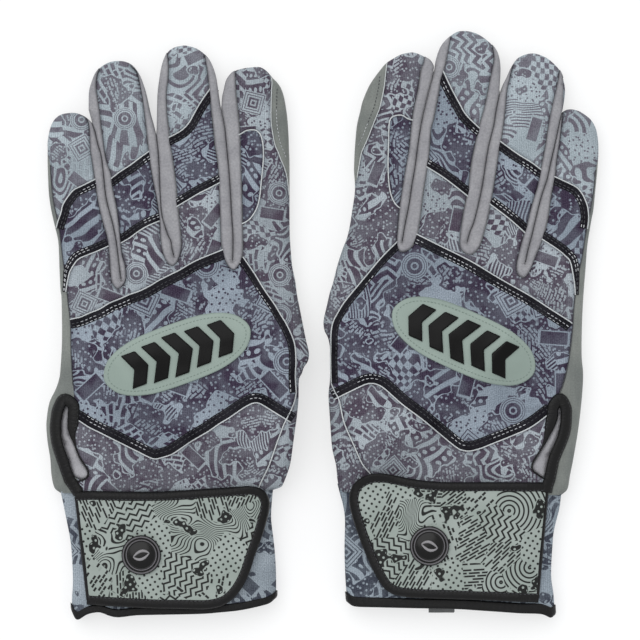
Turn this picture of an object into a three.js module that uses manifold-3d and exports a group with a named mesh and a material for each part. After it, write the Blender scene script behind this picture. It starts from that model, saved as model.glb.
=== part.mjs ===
// A pair of batting gloves lying palm down, fingers along +Y, thumbs folded under the palms.
// Millimetres, +Z up, origin at the middle of the pair on the surface it lies on.
import * as THREE from "three";
import { mergeVertices } from "three/addons/utils/BufferGeometryUtils.js";
import Module from "manifold-3d";

const wasm = await Module();
wasm.setup();

// Overall size of one glove
const gloveLength = 238;
const gloveWidth = 109;

// Thickness of the flat, empty glove
const fingerHeight = 11.5;
const knuckleHeight = 13;
const palmHeight = 17;
const cuffHeight = 14.5;
const thumbHeight = 8;
const seamHeight = 5.2;

// Walls, layers and clearances
const wall = 1.2;
const clearance = 0.3;
const fingerGap = 1;
const bandRise = 0.5;
const bindingRise = 0.8;
const emblemThickness = 1.6;
const reliefThickness = 0.9;
const patchThickness = 0.8;
const strapThickness = 2;
const strapBindingRise = 0.5;
const badgeThickness = 1.5;

// Widths of trims
const bandWidth = 3.4;
const hemWidth = 4.5;
const slitBindingWidth = 3.6;
const strapBindingWidth = 4.2;
const badgeRadius = 8;

// Lengths along the glove
const knuckleBandWidth = 6;
const rootDepth = 3.5;
const knuckleRun = 26;
const wristRun = 22;
const liftPlateau = 21;
const liftFall = 20;
const liftRun = 14;
const thumbRootHalf = 14.5;
const thumbTipHalf = 12.5;

// Emblem plate, a plain lozenge with a row of chevrons
const emblemLength = 64;
const emblemWidth = 25;
const chevronCount = 5;
const chevronWidth = 4.6;
const chevronRunShare = 1.5;
const chevronReachShare = 0.62;
const chevronTaperShare = 0.25;
const chevronLeanShare = 0.55;
const lozengeShares = [[0.3, 1], [0.6, 0.94], [0.82, 0.62], [1, 0]];

// Working values of the cuts
const overrun = 30;
const mergeDistance = 1e-4;
const fingerSides = 10;
const handSides = 18;
const splitCells = 7;
const sectionMiddleShare = 0.45;
const upperSquareness = 2.7;
const lowerSquareness = 4;
const flatShare = 1.08;
const domeTurns = [0.55, 0.98, 1.28, 1.46];
const domeShare = 0.85;
const fingerHeightShare = 0.5;
const badgeSides = 32;
const leastSpread = 0.4;
const farAway = 2 * gloveLength;

// Pixels of the photograph that the outlines are given in, and what they measure
const photo = { midline: 323.5, base: 619, gloveLength: 574, gloveWidth: 263 };
const acrossScale = gloveWidth / photo.gloveWidth;
const alongScale = gloveLength / photo.gloveLength;
const pixelRoom = 14;
const webTop = 60;
const webRoom = 6;

const finishes = {
  leather: { color: 0x7d827c, roughness: 0.65 },
  lightPrint: { color: 0x98a0a8, roughness: 0.8 },
  darkPrint: { color: 0x6f7688, roughness: 0.8 },
  gusset: { color: 0x9a98a0, roughness: 0.9 },
  black: { color: 0x333236, roughness: 0.7 },
  sage: { color: 0x9daa9e, roughness: 0.5 },
  cuff: { color: 0x8490a0, roughness: 0.85 },
  hook: { color: 0x4b4b50, roughness: 0.6 },
  loop: { color: 0x8f8f94, roughness: 0.95 },
  badge: { color: 0x3a3a3e, roughness: 0.55 },
};

// Outlines of the left glove. Every list runs from the fingertip down, or from the pinky to the thumb side.
const leftTrace = {
  side: "left",
  mirrored: false,
  frame: [[40, 640], [320, 20]],
  foldLine: [[57, 314], [295, 263]],
  handEdges: [
    [[60, 291], [290.5, 241.5]],
    [[60, 313], [293, 263.5]],
    [[61.5, 328], [297, 291]],
    [[61, 346], [302.5, 318]],
    [[60, 366], [307, 340]],
    [[55.5, 389], [308, 358]],
    [[50, 401], [301, 376]],
    [[46, 424], [298, 405]],
    [[48, 448], [294, 438]],
    [[50.5, 470], [289, 468]],
    [[60, 491], [273, 490]],
    [[66, 520], [271.5, 518]],
    [[70, 545], [274, 545]],
    [[72, 580], [276, 575]],
    [[76, 614], [273, 603]],
  ],
  wristLine: [[30, 491], [320, 489]],
  fingers: {
    pinky: {
      tip: [70, 112.5],
      spine: [[69, 140, 22], [76, 180, 27.5], [87, 240, 29], [92, 312, 29]],
      pinkyEdge: [[38, 95], [38, 222], [56.5, 226], [61, 262], [65, 290], [70, 330]],
      thumbEdge: [
        [84, 95], [84, 112], [89, 125], [92, 160], [97, 195],
        [103, 222], [108.5, 245], [111, 275], [113, 330],
      ],
      upperLine: [[56.5, 224], [60, 213], [68, 197], [82, 186], [95, 179.5]],
      lowerLine: [[65, 290], [70, 272], [79, 259], [107, 247]],
    },
    ring: {
      tip: [118, 60.5],
      spine: [[117, 90, 28], [125, 130, 30], [132, 180, 28], [143.5, 240, 27.5], [148, 300, 27]],
      pinkyEdge: [
        [99, 45], [99, 68], [96, 85], [101, 125], [107.5, 165],
        [113, 190], [120, 235], [125, 265], [125, 320],
      ],
      thumbEdge: [
        [131, 45], [131, 65], [141, 90], [146.5, 130], [150, 162],
        [157, 200], [160.5, 235], [166, 258], [166, 310],
      ],
      upperLine: [[112, 178], [130, 165.5], [148, 152.5]],
      lowerLine: [[121, 243], [138, 232], [160, 221]],
    },
    middle: {
      tip: [185, 45],
      spine: [[188, 90, 30], [191, 130, 34], [195, 180, 35], [202, 240, 31], [204.5, 288, 30]],
      pinkyEdge: [
        [167, 30], [167, 54], [167, 93], [169, 130], [173, 160],
        [177.5, 200], [181.5, 245], [178, 262], [178, 300],
      ],
      thumbEdge: [
        [205, 30], [205, 56], [209.5, 92], [213, 125], [218, 165], [220, 205], [221.5, 248], [222, 290],
      ],
      upperLine: [[170, 137], [183, 129.5], [193, 116], [209, 90.5]],
      lowerLine: [[178, 206], [200, 193], [219, 183]],
    },
    index: {
      tip: [254, 66.5],
      spine: [[252.5, 90, 29.5], [257, 130, 32], [260, 180, 30], [261.5, 230, 28.5], [262, 276, 28]],
      pinkyEdge: [[235, 50], [235, 75], [239, 120], [241, 165], [243, 240], [243, 290]],
      thumbEdge: [[271, 50], [271, 112], [275, 145], [284, 167], [289, 195], [310, 200], [310, 290]],
      inset: [
        [234, 134], [252, 130], [261, 136], [263.5, 155], [261, 185], [255, 212], [244, 223], [234, 223],
      ],
    },
  },
  gussetTips: [[118, 290], [172, 278], [233, 268]],
  gussetAirs: [
    [[84, 60], [99, 60]],
    [[131, 50], [150, 48], [167, 48]],
    [[205, 45], [220, 45], [235, 66]],
  ],
  printSide: [[70, 300], [70, 323], [72, 355], [76, 395], [79, 418], [86, 470], [90, 520]],
  thumbSide: [
    [236, 240], [250, 267], [262, 286], [275, 305], [286, 323],
    [291, 338], [291, 385], [287, 405], [281, 432], [271, 460], [256, 487], [250, 510],
  ],
  upperBand: [
    [62, 311], [150, 292], [221, 277], [256, 270],
    [262, 286], [275, 305], [286, 323], [291, 338], [291, 385],
  ],
  lowerBandTop: [
    [79, 418], [100, 427], [120, 438], [140, 447], [160, 448], [190, 431],
    [220, 411], [240, 396], [255, 389.5], [270, 396], [291, 410],
  ],
  slit: [
    [66, 403], [72, 406], [74, 418], [74, 440], [80, 456], [83, 472],
    [77, 479], [68, 474], [61, 458], [57, 440], [57, 416], [61, 406],
  ],
  emblemCentre: [178, 352],
  emblemTilt: 0.35,
  strap: [
    [79, 491], [160, 491], [200, 488.5], [250, 485.5], [264, 490], [270, 503],
    [264, 530], [255, 555], [246, 580], [233, 598], [218, 606], [150, 607], [88.5, 604.5],
  ],
  badgeCentre: [142, 554],
  loopPatch: [[100, 503], [236, 500], [236, 590], [105, 593]],
  hookPatch: [[186, 505], [244, 503], [250, 512], [240, 545], [226, 575], [212, 590], [188, 592]],
  thumbAxis: [[288, 362], [275, 444]],
  thumbTip: [172, 345],
};

// Outlines of the right glove, which lies with its fingers a little closer together.
const rightTrace = {
  side: "right",
  mirrored: true,
  frame: [[620, 640], [320, 20]],
  foldLine: [[584, 305], [345, 252]],
  handEdges: [
    [[585, 281], [344, 228]],
    [[584, 305], [339, 250.5]],
    [[583, 322], [332, 284]],
    [[582.5, 340], [326, 309]],
    [[582.5, 362], [326, 330]],
    [[583, 385], [328.5, 348]],
    [[582, 401], [330, 368]],
    [[579, 425], [329, 402]],
    [[575, 450], [331, 438]],
    [[571.5, 470], [336, 466]],
    [[562, 493], [340.5, 491]],
    [[555, 522], [345, 518]],
    [[552.5, 548], [344.5, 546]],
    [[553.5, 582], [346, 578]],
    [[552, 614], [349, 603]],
  ],
  wristLine: [[600, 493], [320, 489]],
  fingers: {
    pinky: {
      tip: [573, 109],
      spine: [[577.5, 140, 21.5], [572, 180, 25], [560, 240, 29], [552, 304, 30]],
      pinkyEdge: [[606, 95], [606, 226], [588, 230], [581, 262], [575, 290], [570, 335]],
      thumbEdge: [
        [565, 95], [562, 118], [557, 158], [551, 197], [543, 238], [536, 255], [529, 273], [527, 335],
      ],
      upperLine: [[588, 228], [589, 210], [577, 188], [570, 184], [555, 177]],
      lowerLine: [[575, 290], [570, 262], [558, 250], [543, 240]],
    },
    ring: {
      tip: [533, 53],
      spine: [[533, 90, 31], [524.5, 130, 30.5], [514, 180, 31], [499.5, 240, 31], [494, 291, 30]],
      pinkyEdge: [
        [560, 35], [560, 70], [552, 107], [545, 148], [538, 185], [527, 225], [516.5, 265], [516, 320],
      ],
      thumbEdge: [[513, 40], [513, 70], [505, 112], [498.5, 155], [491, 202], [480, 245], [475, 300]],
      upperLine: [[540, 168], [532, 163], [516, 153], [500, 141]],
      lowerLine: [[524, 232], [508, 218], [492, 206]],
    },
    middle: {
      tip: [466, 30.5],
      spine: [[467, 70, 32.5], [457, 130, 34], [448, 180, 34], [438, 228, 32], [431, 277, 31]],
      pinkyEdge: [[492, 15], [495, 58], [485, 105], [475, 145], [468, 190], [460, 238], [460, 290]],
      thumbEdge: [
        [450, 15], [450, 40], [441, 80], [434, 118], [429, 155], [423, 195], [416.5, 240], [414, 290],
      ],
      upperLine: [[478, 127], [466, 115], [454, 94], [444, 73]],
      lowerLine: [[466, 195], [444, 178], [428, 168]],
    },
    index: {
      tip: [411, 52],
      spine: [[400, 84, 30], [389, 130, 29.5], [384, 180, 29], [375, 235, 28], [371, 264, 28]],
      pinkyEdge: [[424, 35], [424, 62], [413.5, 110], [409, 150], [403, 185], [397, 240], [396, 280]],
      thumbEdge: [[387, 35], [385.5, 75], [377, 115], [364, 147], [357, 178], [335, 185], [335, 270]],
      inset: [
        [416, 117], [402, 115], [390, 120], [388.5, 145], [388, 165],
        [389, 185], [392, 198], [400, 209], [409, 205],
      ],
    },
  },
  gussetTips: [[523, 279], [468, 268], [403, 253]],
  gussetAirs: [
    [[566, 60], [562, 60]],
    [[513, 45], [502, 45], [494, 40]],
    [[450, 30], [436, 45], [425, 50]],
  ],
  printSide: [[573, 300], [573, 332], [571, 365], [565, 392], [548, 412], [541, 470], [537, 520]],
  thumbSide: [
    [402, 210], [392, 243], [382, 257], [366, 276], [350, 297], [341, 314],
    [337, 330], [336, 360], [337, 383], [341, 400], [346, 422], [355, 443], [371, 480], [375, 510],
  ],
  upperBand: [
    [576, 301.5], [500, 284.5], [418, 266.5], [378, 257.5],
    [366, 276], [350, 297], [341, 314], [337, 330], [336, 360], [337, 383],
  ],
  lowerBandTop: [
    [549, 410], [540, 419], [520, 427], [490, 437], [468, 442], [458, 439], [440, 423],
    [420, 405], [400, 387], [382, 373], [368, 371], [352, 377], [336, 386],
  ],
  slit: [
    [559, 403], [564, 412], [564, 430], [560, 450], [554, 470],
    [549, 476], [546, 468], [547, 448], [552, 430], [552, 412],
  ],
  emblemCentre: [463, 339],
  emblemTilt: 0.42,
  strap: [
    [547.5, 482], [450, 482], [410, 478], [383, 473], [367, 474.5], [354, 483], [349, 500],
    [355, 525], [364, 550], [372, 568], [382, 585], [395, 594], [420, 597], [480, 599], [537.5, 602],
  ],
  badgeCentre: [429, 545],
  loopPatch: [[525, 494], [386, 490], [386, 582], [522, 588]],
  hookPatch: [[432, 494], [376, 490], [366, 500], [374, 530], [386, 560], [398, 580], [430, 585]],
  thumbAxis: [[350, 352], [350, 434]],
  thumbTip: [455, 322],
};

function smooth(value, low, high) {
  const share = Math.min(1, Math.max(0, (value - low) / (high - low)));
  return share * share * (3 - 2 * share);
}

// Closed solid of a list of triangles, whichever way round they were listed.
function solidOf(triangles) {
  const bare = new THREE.BufferGeometry();
  bare.setAttribute("position", new THREE.Float32BufferAttribute(triangles, 3));
  const merged = mergeVertices(bare, mergeDistance);
  const build = (index) =>
    new wasm.Manifold(
      new wasm.Mesh({
        numProp: 3,
        vertProperties: merged.getAttribute("position").array,
        triVerts: new Uint32Array(index),
      }),
    );
  const index = Array.from(merged.index.array);
  const solid = build(index);
  return solid.volume() > 0 ? solid : build(index.reverse());
}

// Solid through closed rings of points, with a fan at each end.
function loft(rings) {
  const triangles = [];
  const add = (...points) => points.forEach((p) => triangles.push(p.x, p.y, p.z));
  const next = (ring, i) => ring[(i + 1) % ring.length];
  for (let i = 1; i < rings.length; i += 1) {
    rings[i].forEach((point, j) => {
      const before = rings[i - 1];
      add(before[j], next(before, j), next(rings[i], j));
      add(before[j], next(rings[i], j), point);
    });
  }
  const cap = (ring, turned) => {
    const centre = new THREE.Vector3();
    ring.forEach((point) => centre.addScaledVector(point, 1 / ring.length));
    ring.forEach((point, j) => {
      const pair = [point, next(ring, j)];
      add(centre, ...(turned ? pair.reverse() : pair));
    });
  };
  cap(rings[0], true);
  cap(rings[rings.length - 1], false);
  return solidOf(triangles);
}

// Upright prism over an outline, between two heights.
function prism(outline, low = -overrun, high = 3 * overrun) {
  const shape = new THREE.Shape(outline.map(([x, y]) => new THREE.Vector2(x, y)));
  const geometry = new THREE.ExtrudeGeometry(shape, { depth: high - low, bevelEnabled: false });
  geometry.translate(0, 0, low);
  const flat = geometry.index ? geometry.toNonIndexed() : geometry;
  return solidOf(flat.getAttribute("position").array);
}

// Unit vector square to the way from one point to the next, to its left.
function leftOf([ax, ay], [bx, by]) {
  const length = Math.hypot(bx - ax, by - ay);
  return [-(by - ay) / length, (bx - ax) / length];
}

// Outline moved inwards by a distance, or outwards where the distance is negative.
function inset(outline, distance) {
  const area = THREE.ShapeUtils.area(outline.map(([x, y]) => ({ x, y })));
  const inwards = area > 0 ? distance : -distance;
  return outline.map((point, i) => {
    const before = outline[(i + outline.length - 1) % outline.length];
    const after = outline[(i + 1) % outline.length];
    const a = leftOf(before, point);
    const b = leftOf(point, after);
    const spread = Math.max(leastSpread, 1 + a[0] * b[0] + a[1] * b[1]);
    const moved = inwards / spread;
    return [point[0] + moved * (a[0] + b[0]), point[1] + moved * (a[1] + b[1])];
  });
}

// Open line moved to its left by a distance.
function beside(line, distance) {
  return line.map((point, i) => {
    const before = line[Math.max(0, i - 1)];
    const after = line[Math.min(line.length - 1, i + 1)];
    const [nx, ny] = leftOf(before, after);
    return [point[0] + distance * nx, point[1] + distance * ny];
  });
}

// Largest body of a solid: a cut through curved walls can leave crumbs beside the piece.
function mainBody(solid) {
  return solid.decompose().reduce((best, body) => (body.volume() > best.volume() ? body : best));
}

function union(solids) {
  return solids.reduce((sum, solid) => sum.add(solid));
}

function cut(solid, ...tools) {
  return tools.reduce((rest, tool) => rest.subtract(tool), solid);
}

// One ring of the flattened tube: flat below, crowned above.
function sectionRing(station, sides) {
  const { centre, across, half, bottom, top, lift } = station;
  const middle = bottom + (top - bottom) * sectionMiddleShare;
  return Array.from({ length: sides }, (_, i) => {
    const turn = (2 * Math.PI * i) / sides;
    const cosine = Math.cos(turn);
    const sine = Math.sin(turn);
    const out = half * Math.sign(cosine) * Math.abs(cosine) ** (2 / upperSquareness);
    const x = centre[0] + out * across[0];
    const y = centre[1] + out * across[1];
    const above = (top - middle) * Math.abs(sine) ** (2 / upperSquareness);
    const below = (middle - bottom) * Math.min(1, flatShare * Math.abs(sine) ** (2 / lowerSquareness));
    const z = sine > 0 ? middle + above : middle - below;
    return new THREE.Vector3(x, y, z + (lift ? lift(x, y) : 0));
  });
}

// Tube along a spine of points with half-widths, closed by a dome at its tip.
function tipTube(spine, tip, heightAt, grow) {
  const curve = new THREE.CatmullRomCurve3(spine.map(([x, y, half]) => new THREE.Vector3(x, y, half)));
  const steps = spine.length - 1;
  const stations = Array.from({ length: steps + 1 }, (_, i) => {
    const share = i / steps;
    const point = curve.getPoint(share);
    const along = curve.getTangent(share);
    return { share, at: [point.x, point.y], along: [along.x, along.y], half: point.z + grow };
  });
  const last = stations[steps];
  const reach = Math.hypot(tip[0] - last.at[0], tip[1] - last.at[1]) + grow;
  const rings = stations.map((s) => {
    const length = Math.hypot(...s.along);
    const across = [-s.along[1] / length, s.along[0] / length];
    return { centre: s.at, across, half: s.half, bottom: -grow, top: heightAt(s.share) + grow };
  });
  const forward = leftOf(last.at, tip);
  const direction = [forward[1], -forward[0]];
  const end = rings[steps];
  const middle = end.bottom + (end.top - end.bottom) * sectionMiddleShare;
  domeTurns.forEach((turn) => {
    const narrow = Math.cos(turn) ** domeShare;
    const away = reach * Math.sin(turn);
    rings.push({
      centre: [last.at[0] + away * direction[0], last.at[1] + away * direction[1]],
      across: forward,
      half: end.half * narrow,
      bottom: middle - (middle - end.bottom) * narrow,
      top: middle + (end.top - middle) * narrow,
    });
  });
  return loft(rings.map((ring) => sectionRing(ring, fingerSides)));
}

function makeGlove(trace) {
  const sign = trace.mirrored ? -1 : 1;
  const at = ([px, py]) => [sign * (px - photo.midline) * acrossScale, (photo.base - py) * alongScale];
  const line = (points) => points.map(at);
  const fold = line(trace.foldLine);
  const foldSide = leftOf(fold[0], fold[1]);
  const beyondFold = ([x, y]) => (x - fold[0][0]) * foldSide[0] + (y - fold[0][1]) * foldSide[1];
  const wrist = line(trace.wristLine);
  const wristY = (wrist[0][1] + wrist[1][1]) / 2;
  const axis = line(trace.thumbAxis);
  const root = [(axis[0][0] + axis[1][0]) / 2, (axis[0][1] + axis[1][1]) / 2];
  const thumbEnd = at(trace.thumbTip);

  // Half-plane on one side of a line, as a tall block
  const side = (a, b, distance) => {
    const [nx, ny] = leftOf(a, b);
    const [ux, uy] = [ny, -nx];
    const from = [a[0] + nx * distance, a[1] + ny * distance];
    const low = [from[0] - ux * farAway, from[1] - uy * farAway];
    const high = [from[0] + ux * farAway, from[1] + uy * farAway];
    const beyond = ([x, y]) => [x + nx * farAway, y + ny * farAway];
    return prism([low, high, beyond(high), beyond(low)]);
  };

  // How far the folded thumb lifts the hand over itself
  const lift = (x, y) => {
    const along = [thumbEnd[0] - root[0], thumbEnd[1] - root[1]];
    const length = Math.hypot(...along);
    const share = ((x - root[0]) * along[0] + (y - root[1]) * along[1]) / (length * length);
    const held = Math.min(1, Math.max(0, share));
    const near = Math.hypot(x - root[0] - held * along[0], y - root[1] - held * along[1]);
    const fromThumb = 1 - smooth(near, liftPlateau, liftPlateau + liftFall);
    return (thumbHeight + clearance) * fromThumb * smooth(-beyondFold([x, y]), rootDepth, liftRun);
  };

  // The hand from the finger webs to the hem, as one tube
  const heightOf = (y, x) => {
    const rise = smooth(-beyondFold([x, y]), 0, knuckleRun);
    const fall = smooth(wristY + wristRun - y, 0, wristRun);
    return knuckleHeight + (palmHeight - knuckleHeight) * rise + (cuffHeight - palmHeight) * fall;
  };
  const handEdges = trace.handEdges.map(line);
  const handTube = (grow) => {
    const stations = handEdges.map(([a, b], i) => {
      const length = Math.hypot(b[0] - a[0], b[1] - a[1]);
      const across = [(b[0] - a[0]) / length, (b[1] - a[1]) / length];
      const centre = [(a[0] + b[0]) / 2, (a[1] + b[1]) / 2];
      const end = i === 0 ? 1 : i === handEdges.length - 1 ? -1 : 0;
      const push = end > 0 ? grow : end < 0 && grow < 0 ? overrun : 0;
      const moved = [centre[0] - push * end * across[1], centre[1] + push * end * across[0]];
      const top = heightOf(centre[1], centre[0]) + grow;
      return { centre: moved, across, half: length / 2 + grow, bottom: -grow, top, lift };
    });
    return loft(stations.map((station) => sectionRing(station, handSides)));
  };

  // The four fingers
  const fingerTubes = (grow) =>
    Object.values(trace.fingers).map((finger) => {
      const slim = (half) => half * acrossScale - fingerGap / 2;
      const spine = finger.spine.map(([px, py, half]) => [...at([px, py]), slim(half)]);
      const height = (share) =>
        knuckleHeight + (fingerHeight - knuckleHeight) * smooth(share, 0, fingerHeightShare);
      return tipTube(spine.reverse(), at(finger.tip), height, grow);
    });

  // Everything above the seam between the leather and the back
  const upper = (shift) => {
    const [low, high] = line(trace.frame);
    const grid = (i, j) => {
      const x = low[0] + ((high[0] - low[0]) * i) / splitCells;
      const y = low[1] + ((high[1] - low[1]) * j) / (2 * splitCells);
      return new THREE.Vector3(x, y, seamHeight + shift + lift(x, y));
    };
    const triangles = [];
    const add = (...points) => points.forEach((p) => triangles.push(p.x, p.y, p.z));
    const raised = (p) => new THREE.Vector3(p.x, p.y, 3 * overrun);
    const wallOf = (p, q) => {
      add(p, q, raised(q));
      add(p, raised(q), raised(p));
    };
    for (let i = 0; i < splitCells; i += 1) {
      for (let j = 0; j < 2 * splitCells; j += 1) {
        const [a, b, c, d] = [grid(i, j), grid(i + 1, j), grid(i + 1, j + 1), grid(i, j + 1)];
        add(a, c, b);
        add(a, d, c);
        add(raised(a), raised(b), raised(c));
        add(raised(a), raised(c), raised(d));
        if (j === 0) wallOf(a, b);
        if (j === 2 * splitCells - 1) wallOf(c, d);
        if (i === 0) wallOf(d, a);
        if (i === splitCells - 1) wallOf(b, c);
      }
    }
    return solidOf(triangles);
  };

  const half = clearance / 2;
  const outer = union([handTube(0), ...fingerTubes(0)]);
  const inner = union([handTube(-wall), ...fingerTubes(-wall)]);
  const shell = outer.subtract(inner);
  const raised = handTube(bandRise).subtract(inner);
  const above = upper(half);
  const aboveCut = upper(-half);
  const fingerSide = side(fold[0], fold[1], half);
  const palmSide = side(fold[1], fold[0], half);
  const wristCut = side(wrist[0], wrist[1], -half);
  const cuffCut = side(wrist[1], wrist[0], -half);
  const fingerShell = shell.intersect(fingerSide);
  const handShell = cut(shell.intersect(palmSide), cuffCut);
  const fingerTop = fingerShell.intersect(above);
  const handTop = handShell.intersect(above);
  const raisedHand = cut(raised.intersect(palmSide), cuffCut).intersect(above);

  const pieces = {};
  const names = Object.keys(trace.fingers);

  // Outline of everything below a line across a finger
  const belowOf = (points, shift) => {
    const first = points[0];
    const last = points[points.length - 1];
    const outwards = Math.sign(first[0] - last[0]);
    const room = outwards * pixelRoom;
    const ends = [[first[0] + room, first[1]], ...points, [last[0] - room, last[1]]];
    const lower = line([[ends[ends.length - 1][0], first[1] + farAway], [ends[0][0], first[1] + farAway]]);
    return prism([...beside(line(ends), shift), ...lower]);
  };
  const stripOf = (finger) => line([...finger.pinkyEdge, ...[...finger.thumbEdge].reverse()]);

  // Gussets between the fingers: a strip up each of two fingers, joined in a U
  const gussetOutlines = trace.gussetTips.map((tip, i) => {
    const inWeb = ([, py]) => py > webTop && py < tip[1] - webRoom;
    const before = trace.fingers[names[i]].thumbEdge.filter(inWeb);
    const after = trace.fingers[names[i + 1]].pinkyEdge.filter(inWeb);
    const air = trace.gussetAirs[i];
    return line([...before, tip, ...[...after].reverse(), ...[...air].reverse()]);
  });
  const gussetRoom = union(gussetOutlines.map((outline) => prism(inset(outline, -half))));
  gussetOutlines.forEach((outline, i) => {
    const piece = fingerTop.intersect(prism(inset(outline, half)));
    pieces[`${names[i]}_${names[i + 1]}_gusset`] = [mainBody(piece), "gusset"];
  });

  // Finger backs with their darker flex insets, and the panel across the knuckles
  const knuckleParts = [];
  const printOutlines = [];
  names.forEach((name) => {
    const finger = trace.fingers[name];
    const strip = stripOf(finger);
    const area = cut(prism(inset(strip, half)), gussetRoom);
    printOutlines.push(prism(inset(strip, -half)));
    if (finger.inset) {
      const flex = line(finger.inset);
      const around = cut(area, prism(inset(flex, -half)));
      const within = area.intersect(prism(inset(flex, half)));
      pieces[`${name}_back`] = [mainBody(fingerTop.intersect(around)), "lightPrint"];
      pieces[`${name}_flex`] = [mainBody(fingerTop.intersect(within)), "darkPrint"];
    } else {
      const back = cut(area, belowOf(finger.upperLine, half));
      pieces[`${name}_back`] = [mainBody(fingerTop.intersect(back)), "lightPrint"];
      const flex = cut(area.intersect(belowOf(finger.upperLine, -half)), belowOf(finger.lowerLine, half));
      pieces[`${name}_flex`] = [mainBody(fingerTop.intersect(flex)), "darkPrint"];
      knuckleParts.push(area.intersect(belowOf(finger.lowerLine, -half)));
    }
  });
  const first = trace.fingers.pinky.pinkyEdge;
  const last = trace.fingers.middle.thumbEdge;
  const knuckleEnds = line([first[first.length - 1], last[last.length - 1]]);
  const low = beside([fold[0], fold[1]], half);
  const high = beside([fold[0], fold[1]], knuckleBandWidth);
  const across = prism([low[0], low[1], high[1], high[0]]);
  const block = (fromX, toX) => prism([[fromX, 0], [toX, 0], [toX, farAway], [fromX, farAway]]);
  const knuckleBand = cut(
    across,
    gussetRoom,
    block(knuckleEnds[1][0], knuckleEnds[1][0] + farAway),
    block(knuckleEnds[0][0] - farAway, knuckleEnds[0][0]),
  );
  pieces.knuckle_panel = [mainBody(fingerTop.intersect(union([knuckleBand, ...knuckleParts]))), "lightPrint"];
  const bandRoom = cut(across, block(knuckleEnds[0][0] - farAway, knuckleEnds[0][0] - half));
  const printRoom = union([...printOutlines, gussetRoom, bandRoom]);
  pieces.finger_leather = [mainBody(cut(fingerShell, printRoom.intersect(aboveCut))), "leather"];

  // Back of the hand
  const outside = at(trace.frame[1])[0];
  const thumbSide = line(trace.thumbSide);
  const printSide = line(trace.printSide);
  const thumbRegion = [...thumbSide, [outside, thumbSide.at(-1)[1]], [outside, thumbSide[0][1]]];
  const backRegion = [...printSide, ...[...thumbSide].reverse()];
  const bandTop = line(trace.upperBand);
  const bandOutline = [...bandTop, ...beside(bandTop, -bandWidth).reverse()];
  const lowerTop = line(trace.lowerBandTop);
  const lowerOutline = [...lowerTop, ...beside(lowerTop, -bandWidth).reverse()];
  const slit = line(trace.slit);
  const slitOutline = inset(slit, -slitBindingWidth);
  const slitRoom = prism(inset(slitOutline, -half));
  const backPrism = prism(inset(backRegion, half));
  const belowLower = prism([...lowerTop, [lowerTop.at(-1)[0], 0], [lowerTop[0][0], 0]]);
  const upperBand = raisedHand.intersect(prism(bandOutline)).intersect(backPrism);
  const lowerBandArea = raisedHand.intersect(prism(lowerOutline)).intersect(backPrism);
  const lowerBand = cut(lowerBandArea, prism(inset(bandOutline, -half)));
  const chevronRoom = union([prism(inset(bandOutline, -half)), prism(inset(lowerOutline, -half))]);
  pieces.upper_chevron_piping = [mainBody(cut(upperBand, slitRoom)), "black"];
  pieces.lower_chevron_piping = [mainBody(cut(lowerBand, slitRoom)), "black"];
  const backArea = cut(backPrism, chevronRoom, slitRoom);
  pieces.back_panel = [mainBody(handTop.intersect(cut(backArea, belowLower))), "darkPrint"];
  pieces.lower_back_panel = [mainBody(handTop.intersect(backArea.intersect(belowLower))), "lightPrint"];
  pieces.thumb_side_panel = [mainBody(handTop.intersect(prism(inset(thumbRegion, half)))), "lightPrint"];
  const handRoom = union([prism(inset(backRegion, -half)), prism(inset(thumbRegion, -half))]);
  const palm = cut(handShell, handRoom.intersect(aboveCut), slitRoom.intersect(aboveCut));
  pieces.palm_leather = [mainBody(palm), "leather"];
  const slitRing = cut(prism(slitOutline), prism(slit));
  const slitSolid = cut(handTube(bindingRise).subtract(inner).intersect(above).intersect(slitRing), cuffCut);
  pieces.slit_binding = [mainBody(slitSolid), "black"];

  // Emblem plate with its chevron relief
  const emblem = (points) => {
    const centre = at(trace.emblemCentre);
    const [c, s] = [Math.cos(trace.emblemTilt), Math.sin(trace.emblemTilt)];
    return points.map(([x, y]) => [centre[0] + x * c - y * s, centre[1] + x * s + y * c]);
  };
  const halfLength = emblemLength / 2;
  const halfWidth = emblemWidth / 2;
  const quarter = lozengeShares.map(([x, y]) => [x * halfLength, y * halfWidth]);
  const turned = [...quarter].reverse();
  const open = quarter.slice(0, -1);
  const lozenge = [
    ...turned,
    ...open.map(([x, y]) => [-x, y]),
    ...turned.map(([x, y]) => [-x, -y]),
    ...open.map(([x, y]) => [x, -y]),
  ];
  const emblemTop = clearance + emblemThickness;
  const layer = (lowGrow, highGrow) => handTube(highGrow).subtract(handTube(lowGrow)).intersect(above);
  const plate = layer(bandRise + clearance, emblemTop).intersect(prism(emblem(lozenge)));
  const relief = Array.from({ length: chevronCount }, (_, i) => {
    const pitch = (chevronRunShare * halfLength) / chevronCount;
    const middle = (i - (chevronCount - 1) / 2) * pitch;
    const taper = 1 - (chevronTaperShare * Math.abs(middle)) / halfLength;
    const reach = halfWidth * chevronReachShare * taper;
    const lean = reach * chevronLeanShare;
    return prism(emblem([
      [middle - lean, -reach], [middle - lean + chevronWidth, -reach], [middle + lean, 0],
      [middle - lean + chevronWidth, reach], [middle - lean, reach], [middle + lean - chevronWidth, 0],
    ]));
  });
  const reliefLayer = layer(emblemTop - clearance, emblemTop + reliefThickness).intersect(union(relief));
  pieces.emblem_plate = [mainBody(plate.add(reliefLayer)), "sage"];

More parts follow.
